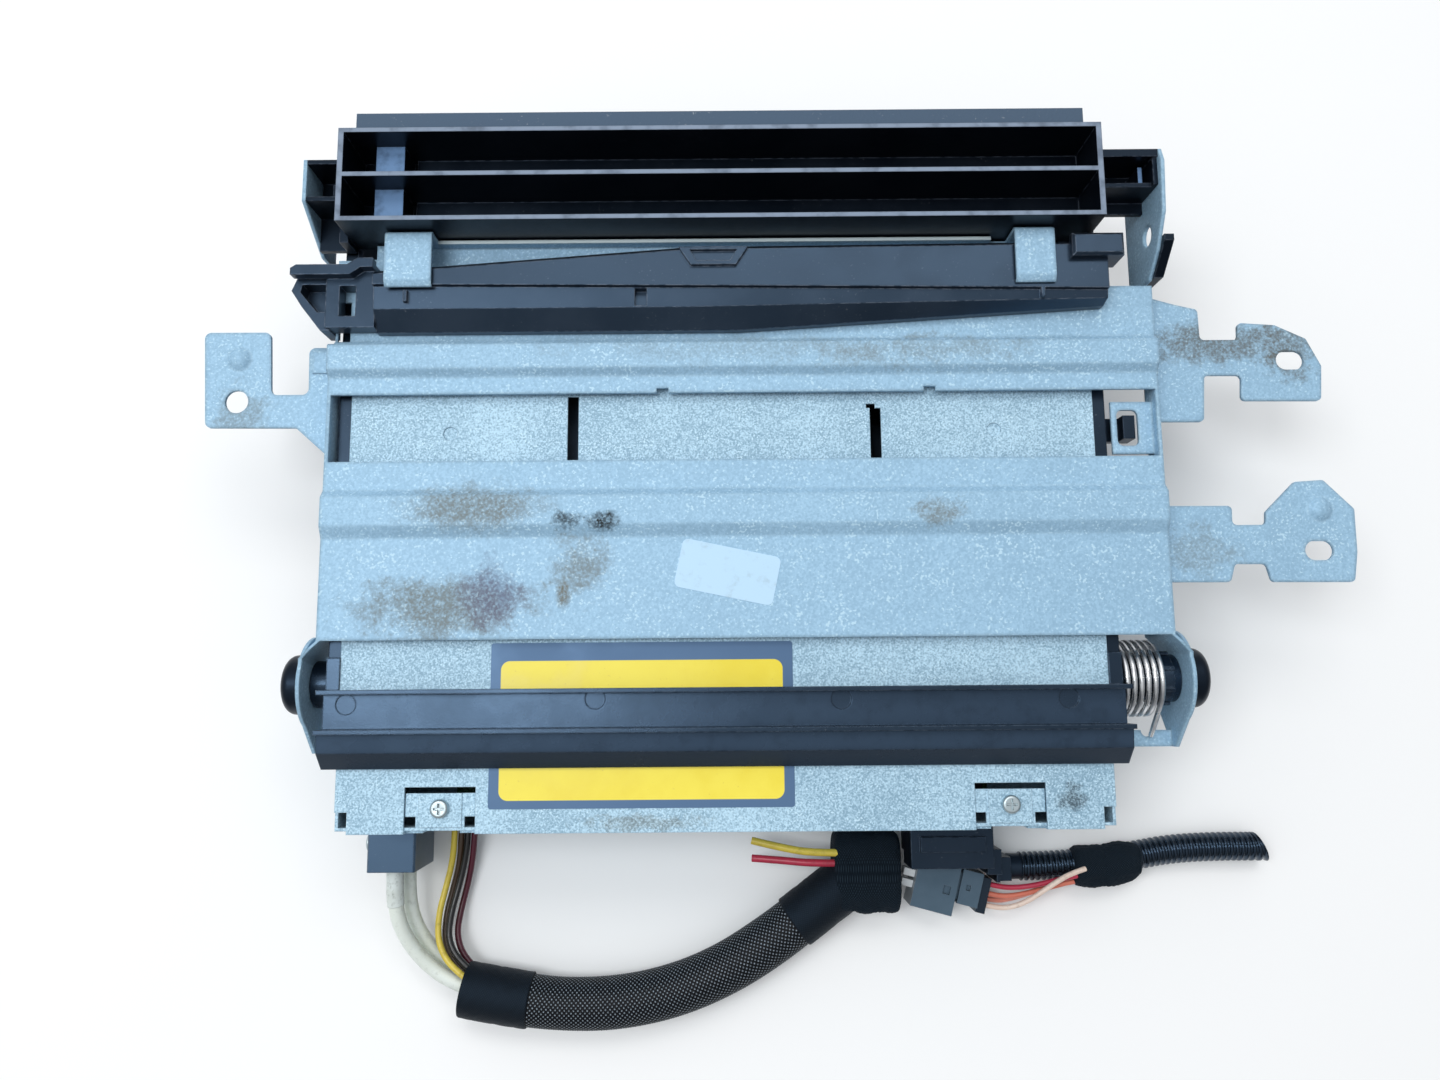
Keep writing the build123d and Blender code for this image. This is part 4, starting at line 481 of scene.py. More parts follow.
def moulded(name, base, worn_lit, rough, pitch=0.4, depth=0.02, wear_and_glint=0.6, dust=0.25, gloss=0.55, lit_levels=()):
    """Moulded plastic: grain, cloudy handling marks, dust, and edges lightened by wear and by a painted
    highlight.

    Its last argument holds heights in millimetres and tints: faces that look up at such a height get its tint
    in noisy patches, a painted sheen of the sky.
    """
    values = {"Roughness": rough, "Specular_IOR_Level": gloss, "Specular_Tint": SKY_TINT}
    material, tree, shader, place = start(name, **values)
    grain = shared(tree, GRAIN, {"Place": place, "Pitch": pitch})
    edge = shared(tree, WORN_LIT_EDGE, {"Place": place, "Round": 0.6})
    lifted = tuple(b + 0.03 * w for b, w in zip(base, worn_lit))
    colour = mixed(tree, grain["Cloud"], base, lifted)
    colour = mixed(tree, calc(tree, "MULTIPLY", grain["Dust"], dust), colour, (0.34, 0.36, 0.38))
    # edges lightened: partly wear, partly a painted highlight
    colour = mixed(tree, calc(tree, "MULTIPLY", edge["Mask"], wear_and_glint), colour, worn_lit)
    # painted sheen: faces that look up at each height are tinted lighter and bluer, as the sky's reflection
    for height, tint in lit_levels:
        sheen_patches = stretch(tree, noise(tree, place, 6.0, 4.0), 0.28, 0.56, 0.55, 1.0)
        colour = mixed(tree, calc(tree, "MULTIPLY", level_mask(tree, place, height), sheen_patches), colour, tint)
    roughness = stretch(tree, grain["Cloud"], 0.0, 1.0, rough, rough + 0.07)
    feed(tree, shader, colour, roughness, grain["Height"], depth, edge["Normal"])
    return material


def steel(name, dark, light, rough, lines=(1, 1, 1)):
    """Bright steel with drawn lines or a fine random brushing, and a little dulling."""
    material, tree, shader, place = start(name, Metallic=1.0, Roughness=rough)
    stretched = put(tree, "Mapping", {"Vector": place, "Scale": lines}).outputs[0]
    streaks = noise(tree, stretched, 0.7, 4.0, 0.65)
    tarnish = stretch(tree, noise(tree, place, 5.0, 4.0), 0.34, 0.72)
    edge = shared(tree, WORN_LIT_EDGE, {"Place": place, "Round": 0.25})
    colour = mixed(tree, calc(tree, "MULTIPLY", tarnish, 0.6), light, dark)
    colour = mixed(tree, stretch(tree, streaks, 0.6, 0.75), colour, light)
    roughness = stretch(tree, tarnish, 0.0, 1.0, rough, rough + 0.16)
    feed(tree, shader, colour, roughness, streaks, 0.006, edge["Normal"])
    return material


def insulation(name, colour, shade, rough=0.34, dirt=0.4):
    """Extruded wire cover: slow change of tone along it, dirt worn in by rubbing and a slight waviness."""
    material, tree, shader, place = start(name, Roughness=rough, Specular_IOR_Level=0.5)
    slow = stretch(tree, noise(tree, place, 12.0, 3.0), 0.35, 0.68)
    grime = stretch(tree, noise(tree, place, 2.2, 5.0, 0.7), 0.5, 0.74)
    tone = mixed(tree, calc(tree, "MULTIPLY", slow, 0.5), colour, shade)
    tone = mixed(tree, calc(tree, "MULTIPLY", grime, dirt), tone, tuple(0.35 * s for s in shade))
    feed(tree, shader, tone, stretch(tree, grime, 0.0, 1.0, rough, rough + 0.25), slow, 0.05)
    return material


def yarn_sleeve():
    """Braided yarn: painted shade darkens it into the crossings, and painted highlights lie whitish on the
    crowns that the weave lifts.
    """
    material, tree, shader, place = start("braid_yarn", Roughness=0.42, Specular_IOR_Level=0.14)
    crown = put(tree, "Attribute", attribute_name="crown").outputs["Fac"]
    fibres = noise(tree, place, 0.22, 3.0, 0.7)
    lit = calc(tree, "MULTIPLY", stretch(tree, crown, 0.78, 0.97), stretch(tree, fibres, 0.36, 0.58))
    # painted shade: darker where the crown is low, down in the crossings
    colour = mixed(tree, stretch(tree, crown, 0.3, 0.85), (0.0006, 0.0008, 0.0012), (0.004, 0.006, 0.009))
    # painted highlight: whitish on the high crowns, broken up by fibre noise
    colour = mixed(tree, lit, colour, (0.34, 0.4, 0.46))
    feed(tree, shader, colour, stretch(tree, fibres, 0.3, 0.7, 0.28, 0.5), fibres, 0.05)
    return material


def cloth(name, base, thread, pitch, threads_round, rough, depth):
    """Woven cloth: crossed thread waves on the piece's own run map, with loose fibres on top.

    pitch is along the piece in millimetres, threads_round is the waves in one turn round it.
    """
    material, tree, shader, place = start(
        name, Roughness=rough, Specular_IOR_Level=0.3, Specular_Tint=SKY_TINT
    )
    run = put(tree, "UVMap", uv_map="run").outputs[0]
    sides = put(tree, "SeparateXYZ", {0: run}).outputs
    warp = calc(tree, "SINE", calc(tree, "MULTIPLY", sides["X"], TURN / (pitch * MM)))
    weft = calc(tree, "SINE", calc(tree, "MULTIPLY", sides["Y"], TURN * threads_round))
    threads = calc(tree, "MULTIPLY", warp, weft)
    fuzz = noise(tree, place, 0.5, 5.0, 0.75)
    height = calc(tree, "ADD", calc(tree, "MULTIPLY", threads, 0.35), fuzz)
    colour = mixed(tree, stretch(tree, threads, 0.0, 1.0), base, thread)
    lint = calc(tree, "MULTIPLY", stretch(tree, fuzz, 0.6, 0.74), 0.5)
    colour = mixed(tree, lint, colour, tuple(2.6 * t for t in thread))
    feed(tree, shader, colour, None, height, depth)
    return material


def printed_panel():
    """Plain yellow printed panel: a rounded yellow field inside a slate border, faded and lightly scuffed."""
    material, tree, shader, place = start("yellow_panel", Roughness=0.34, Specular_Tint=SKY_TINT)
    middle, straight = (tuple(c * MM for c in size) for size in (PANEL_MIDDLE, PANEL_STRAIGHT))
    flat = vector(tree, "MULTIPLY", vector(tree, "SUBTRACT", place, middle), (1, 1, 0))
    beyond = vector(tree, "SUBTRACT", vector(tree, "ABSOLUTE", flat), straight)
    reach = vector(tree, "LENGTH", vector(tree, "MAXIMUM", beyond), out="Value")
    border = stretch(tree, reach, 2.85 * MM, 3.1 * MM)
    fade = stretch(tree, noise(tree, place, 18.0, 4.0), 0.3, 0.7)
    yellow = mixed(tree, fade, (0.86, 0.68, 0.03), (0.92, 0.76, 0.06))
    scuffs = stretch(tree, noise(tree, place, 1.6, 5.0, 0.7), 0.63, 0.72)
    yellow = mixed(tree, calc(tree, "MULTIPLY", scuffs, 0.4), yellow, (0.55, 0.36, 0.05))
    colour = mixed(tree, border, yellow, (0.088, 0.15, 0.258))
    ripple = noise(tree, place, 7.0, 2.0)
    feed(tree, shader, colour, stretch(tree, fade, 0.0, 1.0, 0.3, 0.42), ripple, 0.05)
    return material


def paper_sticker():
    """Blank white sticker with paper tooth and a little handling dirt."""
    material, tree, shader, place = start("blank_sticker", Roughness=0.5)
    tooth = noise(tree, place, 0.35, 3.0)
    dirt = stretch(tree, noise(tree, place, 6.0, 5.0, 0.65), 0.52, 0.78)
    colour = mixed(tree, dirt, (0.48, 0.69, 0.87), (0.38, 0.53, 0.64))
    feed(tree, shader, colour, stretch(tree, tooth, 0.3, 0.7, 0.44, 0.58), tooth, 0.01)
    return material


def housing_grey():
    """The small coupled housings: grey-black plastic with a painted slate-blue sheen, a near-black rear end
    and three white sealing tabs.

    Two Mapping nodes centre the pattern on the housings and turn it as they are turned.
    """
    material, tree, shader, place = start("housing_sheen_slate", Roughness=0.42, Specular_Tint=SKY_TINT)
    back = tuple(-c * MM for c in MATE_MIDDLE)
    moved = put(tree, "Mapping", {"Vector": place, "Location": back}).outputs[0]
    turned = put(tree, "Mapping", {"Vector": moved, "Rotation": (0, 0, math.radians(-MATE_TILT))}).outputs[0]
    along = put(tree, "SeparateXYZ", {0: turned}).outputs["X"]
    grain = shared(tree, GRAIN, {"Place": place, "Pitch": 0.3})
    edge = shared(tree, WORN_LIT_EDGE, {"Place": place, "Round": 0.3})
    # painted sheen: the base is slate blue in place of grey-black, as the sky's reflection
    colour = mixed(tree, grain["Cloud"], (0.065, 0.1, 0.13), (0.085, 0.125, 0.16))
    # edges lightened: partly wear, partly a painted highlight
    colour = mixed(tree, calc(tree, "MULTIPLY", edge["Mask"], 0.7), colour, (0.2, 0.23, 0.26))
    # the rear end, past -16.5 mm along, is painted near black
    rear = stretch(tree, along, -16.5 * MM, -16.7 * MM)
    colour = mixed(tree, rear, colour, (0.01, 0.011, 0.013))
    tabs = stretch(tree, along, 7.68 * MM, 7.74 * MM)
    colour = mixed(tree, tabs, colour, (0.8, 0.82, 0.82))
    feed(tree, shader, colour, None, grain["Height"], 0.02, edge["Normal"])
    return material


def circuit_board():
    """Green laminate with paler tracks in a stepped net under the lacquer."""
    material, tree, shader, place = start("board_lacquer", Roughness=0.3, Coat_Weight=0.4)
    values = {"Vector": place, "Scale": 1 / (4.0 * MM)}
    net = put(tree, "TexVoronoi", values, distance="MANHATTAN", feature="F2")
    tracks = stretch(tree, calc(tree, "PINGPONG", net.outputs["Distance"], 0.16), 0.1, 0.12)
    colour = mixed(tree, tracks, (0.01, 0.09, 0.035), (0.03, 0.2, 0.08))
    feed(tree, shader, colour, None, tracks, 0.03)
    return material


def lens_glass():
    """Clear pickup lens with a faint coated roughness."""
    material, tree, shader, place = start("pickup_glass", Transmission_Weight=0.9, IOR=1.5, Roughness=0.03)
    haze = stretch(tree, noise(tree, place, 1.5, 3.0), 0.4, 0.7)
    colour = mixed(tree, haze, (0.75, 0.82, 0.98), (0.62, 0.7, 0.95))
    feed(tree, shader, colour, stretch(tree, haze, 0, 1, 0.02, 0.08))
    return material


BROWN = (0.16, 0.145, 0.1)
SLATE = (0.13, 0.14, 0.21)
SOOT = (0.02, 0.025, 0.027)
RUST = (0.12, 0.115, 0.095)
# each stain: tint, centre, half sizes, raggedness, strength
BRACKET_STAINS = (
    (BROWN, (83, -9, 66), (27, 9, 9), 0.7, 0.7),
    (BROWN, (92, 24, 66), (30, 11, 9), 1.0, 0.7),
    (SLATE, (76, 20, 66), (12, 11, 9), 0.8, 0.8),
    (BROWN, (47, 10, 66), (10, 11, 9), 1.1, 0.6),
    (SOOT, (39.5, -4.5, 67), (6.5, 3.6, 6), 0.9, 1.0),
    (SOOT, (51, -5.5, 67), (5.5, 3.2, 6), 1.3, 0.85),
    (BROWN, (52.5, 20, 66), (2.6, 5, 6), 0.5, 0.85),
    (BROWN, (-72, -7, 67), (9, 5, 7), 1.3, 0.6),
    (BROWN, (-70, -62, 67), (40, 6, 7), 1.3, 0.35),
    (BROWN, (-10, -63, 67), (60, 5, 7), 1.5, 0.2),
    (RUST, (-172, -67, 58), (24, 8, 6), 1.3, 0.75),
    (RUST, (-197, -66, 58), (9, 12, 6), 1.3, 0.7),
    (BROWN, (166, -44, 58), (10, 12, 6), 1.2, 0.4),
    (BROWN, (-160, 6, 58), (14, 8, 6), 1.4, 0.35),
)
CASE_STAINS = (
    (SOOT, (-112, 87, 62), (4.5, 4.5, 5), 1.5, 0.75),
    (BROWN, (24, 93, 61), (20, 3, 5), 1.6, 0.5),
)
ZINC = plated_sheet(
    "zinc_sheet", (0.27, 0.44, 0.59), (0.35, 0.55, 0.72), (0.47, 0.67, 0.8), cell=0.8, specks=0.4,
    depth=0.02, round_mm=1.8, stains=BRACKET_STAINS, bare_glint_edge=70.0,
)
CASE = plated_sheet(
    "case_sheet", (0.22, 0.36, 0.47), (0.5, 0.71, 0.85), (0.58, 0.77, 0.88), cell=0.62, specks=0.3,
    depth=0.03, round_mm=0.5, stains=CASE_STAINS,
)
# the tints on up-facing faces at 85 and 75.2 mm are a painted sheen of the sky
FRAME_BLACK = moulded(
    "frame_black", (0.0015, 0.0025, 0.005), (0.12, 0.14, 0.18), 0.3, wear_and_glint=0.8, dust=0.12, gloss=0.28,
    lit_levels=((85.0, (0.23, 0.28, 0.36)), (75.2, (0.15, 0.26, 0.45))),
)
# the tints on the crossbar's up-facing faces at 64.2 and 68.9 mm are a painted sheen of the sky
BAR_BLACK = moulded(
    "bar_black", (0.0015, 0.003, 0.006), (0.12, 0.15, 0.19), 0.24, pitch=0.5, dust=0.15, gloss=0.8,
    lit_levels=((64.2, (0.018, 0.03, 0.05)), (68.9, (0.018, 0.03, 0.05))),
)
LATCH_BLACK = moulded(
    "latch_black", (0.006, 0.01, 0.017), (0.2, 0.23, 0.28), 0.28, dust=0.2, wear_and_glint=1.0, gloss=0.8
)
RAIL_BLACK = moulded("rail_black", (0.002, 0.003, 0.005), (0.06, 0.07, 0.09), 0.28, wear_and_glint=0.6)
TRIM_BLACK = moulded(
    "trim_textured", (0.062, 0.09, 0.13), (0.16, 0.19, 0.23), 0.55, pitch=0.9, depth=0.16, wear_and_glint=0.5, dust=0.7
)
# painted sheen: the jack's base is lighter and bluer than black plastic, standing in for the sky's reflection
# on it
JACK_SHEEN_BLACK = moulded("jack_sheen_black", (0.036, 0.062, 0.098), (0.16, 0.2, 0.25), 0.3, wear_and_glint=0.8, gloss=0.9)
PLUG_BLACK = moulded("plug_black", (0.003, 0.004, 0.007), (0.08, 0.1, 0.13), 0.32, wear_and_glint=0.8, dust=0.15)
INNER_BLACK = moulded("inner_black", (0.014, 0.014, 0.015), (0.09, 0.09, 0.1), 0.45, wear_and_glint=0.4)
TRAY_GREY = moulded("tray_grey", (0.055, 0.058, 0.062), (0.22, 0.22, 0.23), 0.4, wear_and_glint=0.4)
DAMPER = moulded(
    "damper_rubber", (0.012, 0.012, 0.012), (0.05, 0.05, 0.05), 0.72, pitch=0.7, depth=0.05, wear_and_glint=0.3
)
CHIPS = moulded("chip_epoxy", (0.016, 0.016, 0.018), (0.12, 0.12, 0.12), 0.5, pitch=0.3, wear_and_glint=0.5, dust=0.1)
BRIGHT = steel("bright_steel", (0.42, 0.43, 0.45), (0.74, 0.76, 0.79), 0.24)
SPRING_STEEL = steel("spring_steel", (0.3, 0.31, 0.33), (0.72, 0.73, 0.74), 0.22, (3, 0.6, 0.6))
SCREW_ZINC = steel("screw_zinc", (0.3, 0.36, 0.38), (0.52, 0.6, 0.63), 0.34)

NODE_FINISH = {
    "case_sheet": CASE,
    "zinc_sheet": ZINC,
    "black_plastic": FRAME_BLACK,
    "grey_plastic": housing_grey(),
    "inner_plastic": INNER_BLACK,
    "tray_plastic": TRAY_GREY,
    "bright_steel": BRIGHT,
    "rubber": DAMPER,
    "label_yellow": printed_panel(),
    "sticker_white": paper_sticker(),
    "lens_glass": lens_glass(),
    "board_green": circuit_board(),
    "chip_black": CHIPS,
}
OWN_FINISH = {
    "rear_crossbar": BAR_BLACK,
    "latch_bar": LATCH_BLACK,
    "latch_claw": LATCH_BLACK,
    "latch_tongue": LATCH_BLACK,
    "carrier_rail_left": RAIL_BLACK,
    "carrier_rail_right": RAIL_BLACK,
    "front_trim": TRIM_BLACK,
    "signal_jack": JACK_SHEEN_BLACK,
    "case_plug": PLUG_BLACK,
    "torsion_spring": SPRING_STEEL,
    "cover_screws": SCREW_ZINC,
}


def dress_nodes():
    """Gives every CAD node its own finish or its slot's. The cords' nodes have none, being replaced."""
    slots = {part["node"]: part["material_slot"] for part in frame["record"]["subparts"]}
    for name, node in nodes.items():
        finish = OWN_FINISH.get(name) or NODE_FINISH.get(slots[name])
        if finish is None:
            continue
        for index in range(len(node.data.materials)):
            node.data.materials[index] = finish
        if not node.data.materials:
            node.data.materials.append(finish)


dress_nodes()


# ---------------------------------------------------------------- wiring
def wire(name, points, thickness, finish, slot, node, length, far_end="object", stiffness="medium", **more):
    """A round cord: the route's own spline with a bevel of half its thickness."""
    piece = link(name, route(name, points, thickness), finish)
    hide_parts(node)
    return piece


WHITE_ROUTES = (
    (
        (118.4, 113, 20), (118.4, 122.5, 20), (117.4, 132, 17.6), (114, 140.8, 14),
        (108.4, 148.2, 11.4), (100.7, 154.1, 10.4), (92.2, 157.4, 10.4),
    ),
    (
        (115.6, 113, 12.4), (115.6, 121.8, 12.4), (114.6, 131.2, 10.4), (111.2, 139.8, 7.6),
        (105.6, 147.2, 5.4), (98.2, 152.9, 4.4), (89.9, 156.4, 4.6),
    ),
)
SUPPLY_ROUTES = {
    "yellow": (
        (100.4, 95, 8), (100.4, 103.4, 8), (101.3, 113.2, 6.6), (103.6, 122.9, 6.6),
        (105.5, 132.4, 8.6), (104.3, 141.5, 12), (98.4, 149.4, 14.4), (90.8, 154.2, 14.6),
    ),
    "brown": (
        (97.9, 95, 8), (97.9, 103.5, 8), (98.8, 113.1, 5.2), (101.3, 122.7, 3.6),
        (103.6, 132.3, 4.6), (103.1, 141.6, 8), (97.7, 149.9, 10.6), (90.2, 155, 10.8),
    ),
    "black": (
        (95.4, 95, 8), (95.4, 103.1, 8), (96.5, 112.6, 7.1), (98.5, 122, 7),
        (100.8, 131.1, 8.4), (101.1, 140.1, 11.2), (95.9, 147.8, 12.6), (88.8, 152.8, 12.6),
    ),
    "maroon": (
        (92.9, 95, 8), (92.9, 103, 8), (94.1, 112.2, 5.3), (96, 121.3, 3.4),
        (98.3, 130.4, 3.5), (99.3, 139.4, 6.2), (95.4, 147.5, 8.4), (88.7, 152.9, 8.6),
    ),
}
LOOM_ROUTE = (
    (95, 157.3, 9.9), (76.4, 160.9, 9.9), (57.2, 163, 9.9), (37.5, 162.4, 9.9), (18, 158.4, 9.9),
    (0, 151.2, 9.9), (-16, 141.6, 9.9), (-30.5, 131.1, 9.9), (-44.3, 120.9, 9.9),
)
CUT_ROUTES = {
    "yellow": ((-41.6, 109.4, 18), (-31.2, 109.4, 18), (-20.2, 107.6, 16.9), (-9.6, 105.2, 15.6)),
    "red": ((-41.6, 113.2, 16.8), (-31.2, 113.2, 16.8), (-20.4, 112.4, 14.8), (-9.8, 111.9, 12.6)),
}
SIGNAL_ROUTES = {
    "red": (
        (-97.07, 122.46, 8.4), (-101.33, 123.6, 8.4), (-106.5, 123.7, 9), (-111.6, 123.1, 9.8),
        (-116.7, 122, 10.5), (-121.7, 120.7, 11), (-126.8, 119.6, 11.1), (-131.5, 118.9, 10.8),
    ),
    "coral": (
        (-96.16, 125.84, 7.2), (-100.49, 127, 7.2), (-105.9, 126.9, 7.3), (-111.1, 126, 7.6),
        (-116.3, 124.7, 7.8), (-121.4, 123.4, 8), (-126.6, 122.1, 8.1), (-131.5, 121.5, 8),
    ),
    "pale": (
        (-95.1, 129.8, 8.4), (-99.8, 131.06, 8.4), (-105.6, 130.4, 9.4), (-111, 127.7, 11.4),
        (-115.9, 124, 13), (-120.9, 120.6, 13.8), (-126.3, 117.9, 13.6), (-131.5, 116.6, 12.7),
    ),
    "salmon": (
        (-95.57, 128.06, 4.6), (-99.97, 129.24, 4.6), (-105.5, 128.5, 4.5), (-110.8, 127.1, 4.4),
        (-116, 125.4, 4.4), (-121.2, 123.7, 4.5), (-126.5, 122.5, 4.6), (-131.5, 122.2, 4.8),
    ),
}
CONDUIT_ROUTE = (
    (-109.4, 116.6, 5.5), (-122, 116.6, 5.5), (-146, 114.2, 5.5), (-172.5, 109.6, 5.5), (-199.2, 110.2, 5.5),
)

LEAD_WHITE = insulation("lead_white", (0.78, 0.83, 0.78), (0.66, 0.7, 0.6), 0.4, 0.25)
COLLAR_TAPE = insulation("collar_tape", (0.74, 0.8, 0.78), (0.5, 0.53, 0.47), 0.5, 0.6)
WIRE_COLOURS = {
    "yellow": insulation("wire_yellow", (0.72, 0.56, 0.07), (0.5, 0.37, 0.05)),
    "brown": insulation("wire_brown", (0.06, 0.034, 0.018), (0.035, 0.02, 0.012)),
    "black": insulation("wire_black", (0.008, 0.008, 0.009), (0.014, 0.013, 0.013), 0.3),
    "maroon": insulation("wire_maroon", (0.085, 0.008, 0.022), (0.05, 0.006, 0.014)),
    "red": insulation("wire_red", (0.5, 0.03, 0.07), (0.32, 0.02, 0.045)),
    "coral": insulation("wire_coral", (0.7, 0.2, 0.13), (0.5, 0.12, 0.08)),
    "pale": insulation("wire_pale", (0.82, 0.66, 0.56), (0.74, 0.5, 0.4)),
    "salmon": insulation("wire_salmon", (0.72, 0.27, 0.2), (0.5, 0.16, 0.12)),
}
COPPER = steel("copper_strands", (0.55, 0.24, 0.12), (0.86, 0.45, 0.27), 0.3)
BRAID = yarn_sleeve()
SHRUNK = cloth("shrunk_sleeve", (0.003, 0.004, 0.005), (0.012, 0.014, 0.017), 0.9, 60, 0.62, 0.08)
TAPE = cloth("cloth_tape", (0.003, 0.005, 0.007), (0.022, 0.032, 0.042), 0.9, 74, 0.85, 0.28)
CONDUIT = moulded(
    "conduit_gloss", (0.002, 0.0025, 0.003), (0.05, 0.06, 0.07), 0.1, pitch=1.2, wear_and_glint=0.2, dust=0.1, gloss=0.9
)


def sleeve_mesh(name, line, radius, wall, seed):
    """A shrunk tube with a wall: rings out along the line, over the lip and back inside.

    Its radius only shrinks, by a sine of three long creases times slow noise, and rounds at the lips.
    """
    angle = np.arange(72) / 72 * TURN
    run = run_length(line)
    lip = np.clip(np.minimum(run, run[-1] - run) / (0.8 * MM), 0, 1)
    rounding = (1 - np.sqrt(1 - (1 - lip) ** 2)) * 0.35 * MM
    outer = tube_points(line, radius * MM, angle)
    crease = 0.5 + 0.5 * np.sin(3 * angle[None, :] + 9 * run[:, None] / run[-1])
    slow = 0.5 + 0.5 * lumps(outer, 9 * MM, seed)
    shrunk = 0.18 * MM * crease * slow + 0.05 * MM * lumps(outer, 2.2 * MM, seed + 1) + rounding[:, None]
    skin = tube_points(line, radius * MM - np.clip(shrunk, 0, None), angle)
    inside = tube_points(line, (radius - wall) * MM, angle)[::-1]
    along = np.concatenate([run, run[::-1] + run[-1]])
    return rounded_mesh(name, np.concatenate([skin, inside]), closed_rows=True, along=along)


def weave_height(run, angle, strands, pitch):
    """Plain weave of two yarn families that wind in opposite turns, 0 to 1.

    Each yarn is a half round across its width. It is lifted where it passes over and lowered where it passes
    under, and the higher of the two families is the surface.
    """
    turn = strands * angle[None, :] / TURN
    climb = run[:, None] / pitch

    def family(own, other, sign):
        half_round = np.sqrt(np.clip(1 - (2 * np.mod(own, 1) - 1) ** 2, 0, 1))
        lift = sign * np.cos(math.pi * np.floor(own)) * np.sin(math.pi * other)
        return half_round * (0.6 + 0.4 * lift)

    return np.maximum(family(turn + climb, turn - climb, 1), family(turn - climb, turn + climb, -1))


def make_leads():
    """The two white leads, the upper one with a wrapped collar below its socket.

    The collar's radius grows by a saw tooth along its wraps, a seeded unevenness and one raised seam.
    """
    line = read_line("white_lead_1", WHITE_ROUTES[0])
    run = np.linspace(0.2, 0.2 + COLLAR_LENGTH, 48) * MM
    centre = points_at(line, run)
    angle = np.arange(40) / 40 * TURN
    wraps = 0.16 * np.mod(run / (COLLAR_WRAP * MM), 1)[:, None]
    uneven = 0.07 * lumps(tube_points(centre, COLLAR_RADIUS * MM, angle), 2.5 * MM, 11)
    seam = 0.25 * np.exp(-(((angle - 2.2) / 0.14) ** 2))[None, :]
    radius = (COLLAR_RADIUS + 0.2 * np.clip(wraps + uneven, -0.5, 1) + 0.3 * seam) * MM
    skin = rounded_mesh("lead_collar", tube_points(centre, radius, angle), along=run)
    collar = link("lead_collar", skin, COLLAR_TAPE)
    wire(
        "white_lead_1", WHITE_ROUTES[0], LEAD_D, LEAD_WHITE, "lead_white", "white_leads", 58.5,
        with_pieces=[collar],
    )
    wire("white_lead_2", WHITE_ROUTES[1], LEAD_D, LEAD_WHITE, "lead_white", "white_leads", 56.5)


def strand_ends(name, line, reach, offsets, thickness, finish):
    """Short round cores side by side along the end of a line: one closed tube each, in one mesh."""
    angle = np.arange(10) / 10 * TURN
    run = run_length(line)[-1]
    parts = []
    for sideways, upwards, short in offsets:
        centre = points_at(line, np.linspace(run - reach, run - short, 6))
        _, side, up = ring_frames(centre)
        moved = centre + side * sideways + up * upwards
        size = np.array([1, 1, 1, 1, 0.95, 0.6])[:, None] * thickness / 2
        parts.append(tube_points(moved, size, angle))
    return link(name, joined_rings(name, parts), finish)


def joined_rings(name, parts):
    """Several closed ring surfaces as one mesh."""
    skins = [ring_surface(part) for part in parts]
    offsets = np.cumsum([0] + [len(places) for places, _, _ in skins])
    quads = np.vstack([sides + offset for (_, sides, _), offset in zip(skins, offsets)])
    fans = np.vstack([ends + offset for (_, _, ends), offset in zip(skins, offsets)])
    return smooth_mesh(name, np.vstack([places for places, _, _ in skins]), quads.tolist() + fans.tolist())


def make_wires():
    """Supply, cut and signal wires. The two cut ones show their copper."""
    for colour, points in SUPPLY_ROUTES.items():
        name = "supply_wire_" + colour
        wire(
            name, points, SUPPLY_D, WIRE_COLOURS[colour], "wire_mixed", "supply_wires", 66.5, stiffness="limp"
        )
    for colour, points in CUT_ROUTES.items():
        cores = strand_ends(
            "cut_cores_" + colour, read_line("cut_wire_" + colour, points), 3 * MM,
            ((0.0, 0.0, -0.25 * MM), (0.3 * MM, 0.2 * MM, 0.0)), CORE_D * MM, COPPER,
        )
        wire(
            "cut_wire_" + colour, points, CUT_D, WIRE_COLOURS[colour], "wire_mixed", "cut_wires", 32.4,
            far_end="bare", with_pieces=[cores],
        )
    for colour, points in SIGNAL_ROUTES.items():
        name = "signal_wire_" + colour
        wire(name, points, SIGNAL_D, WIRE_COLOURS[colour], "wire_pink", "signal_wires", 39, stiffness="limp")


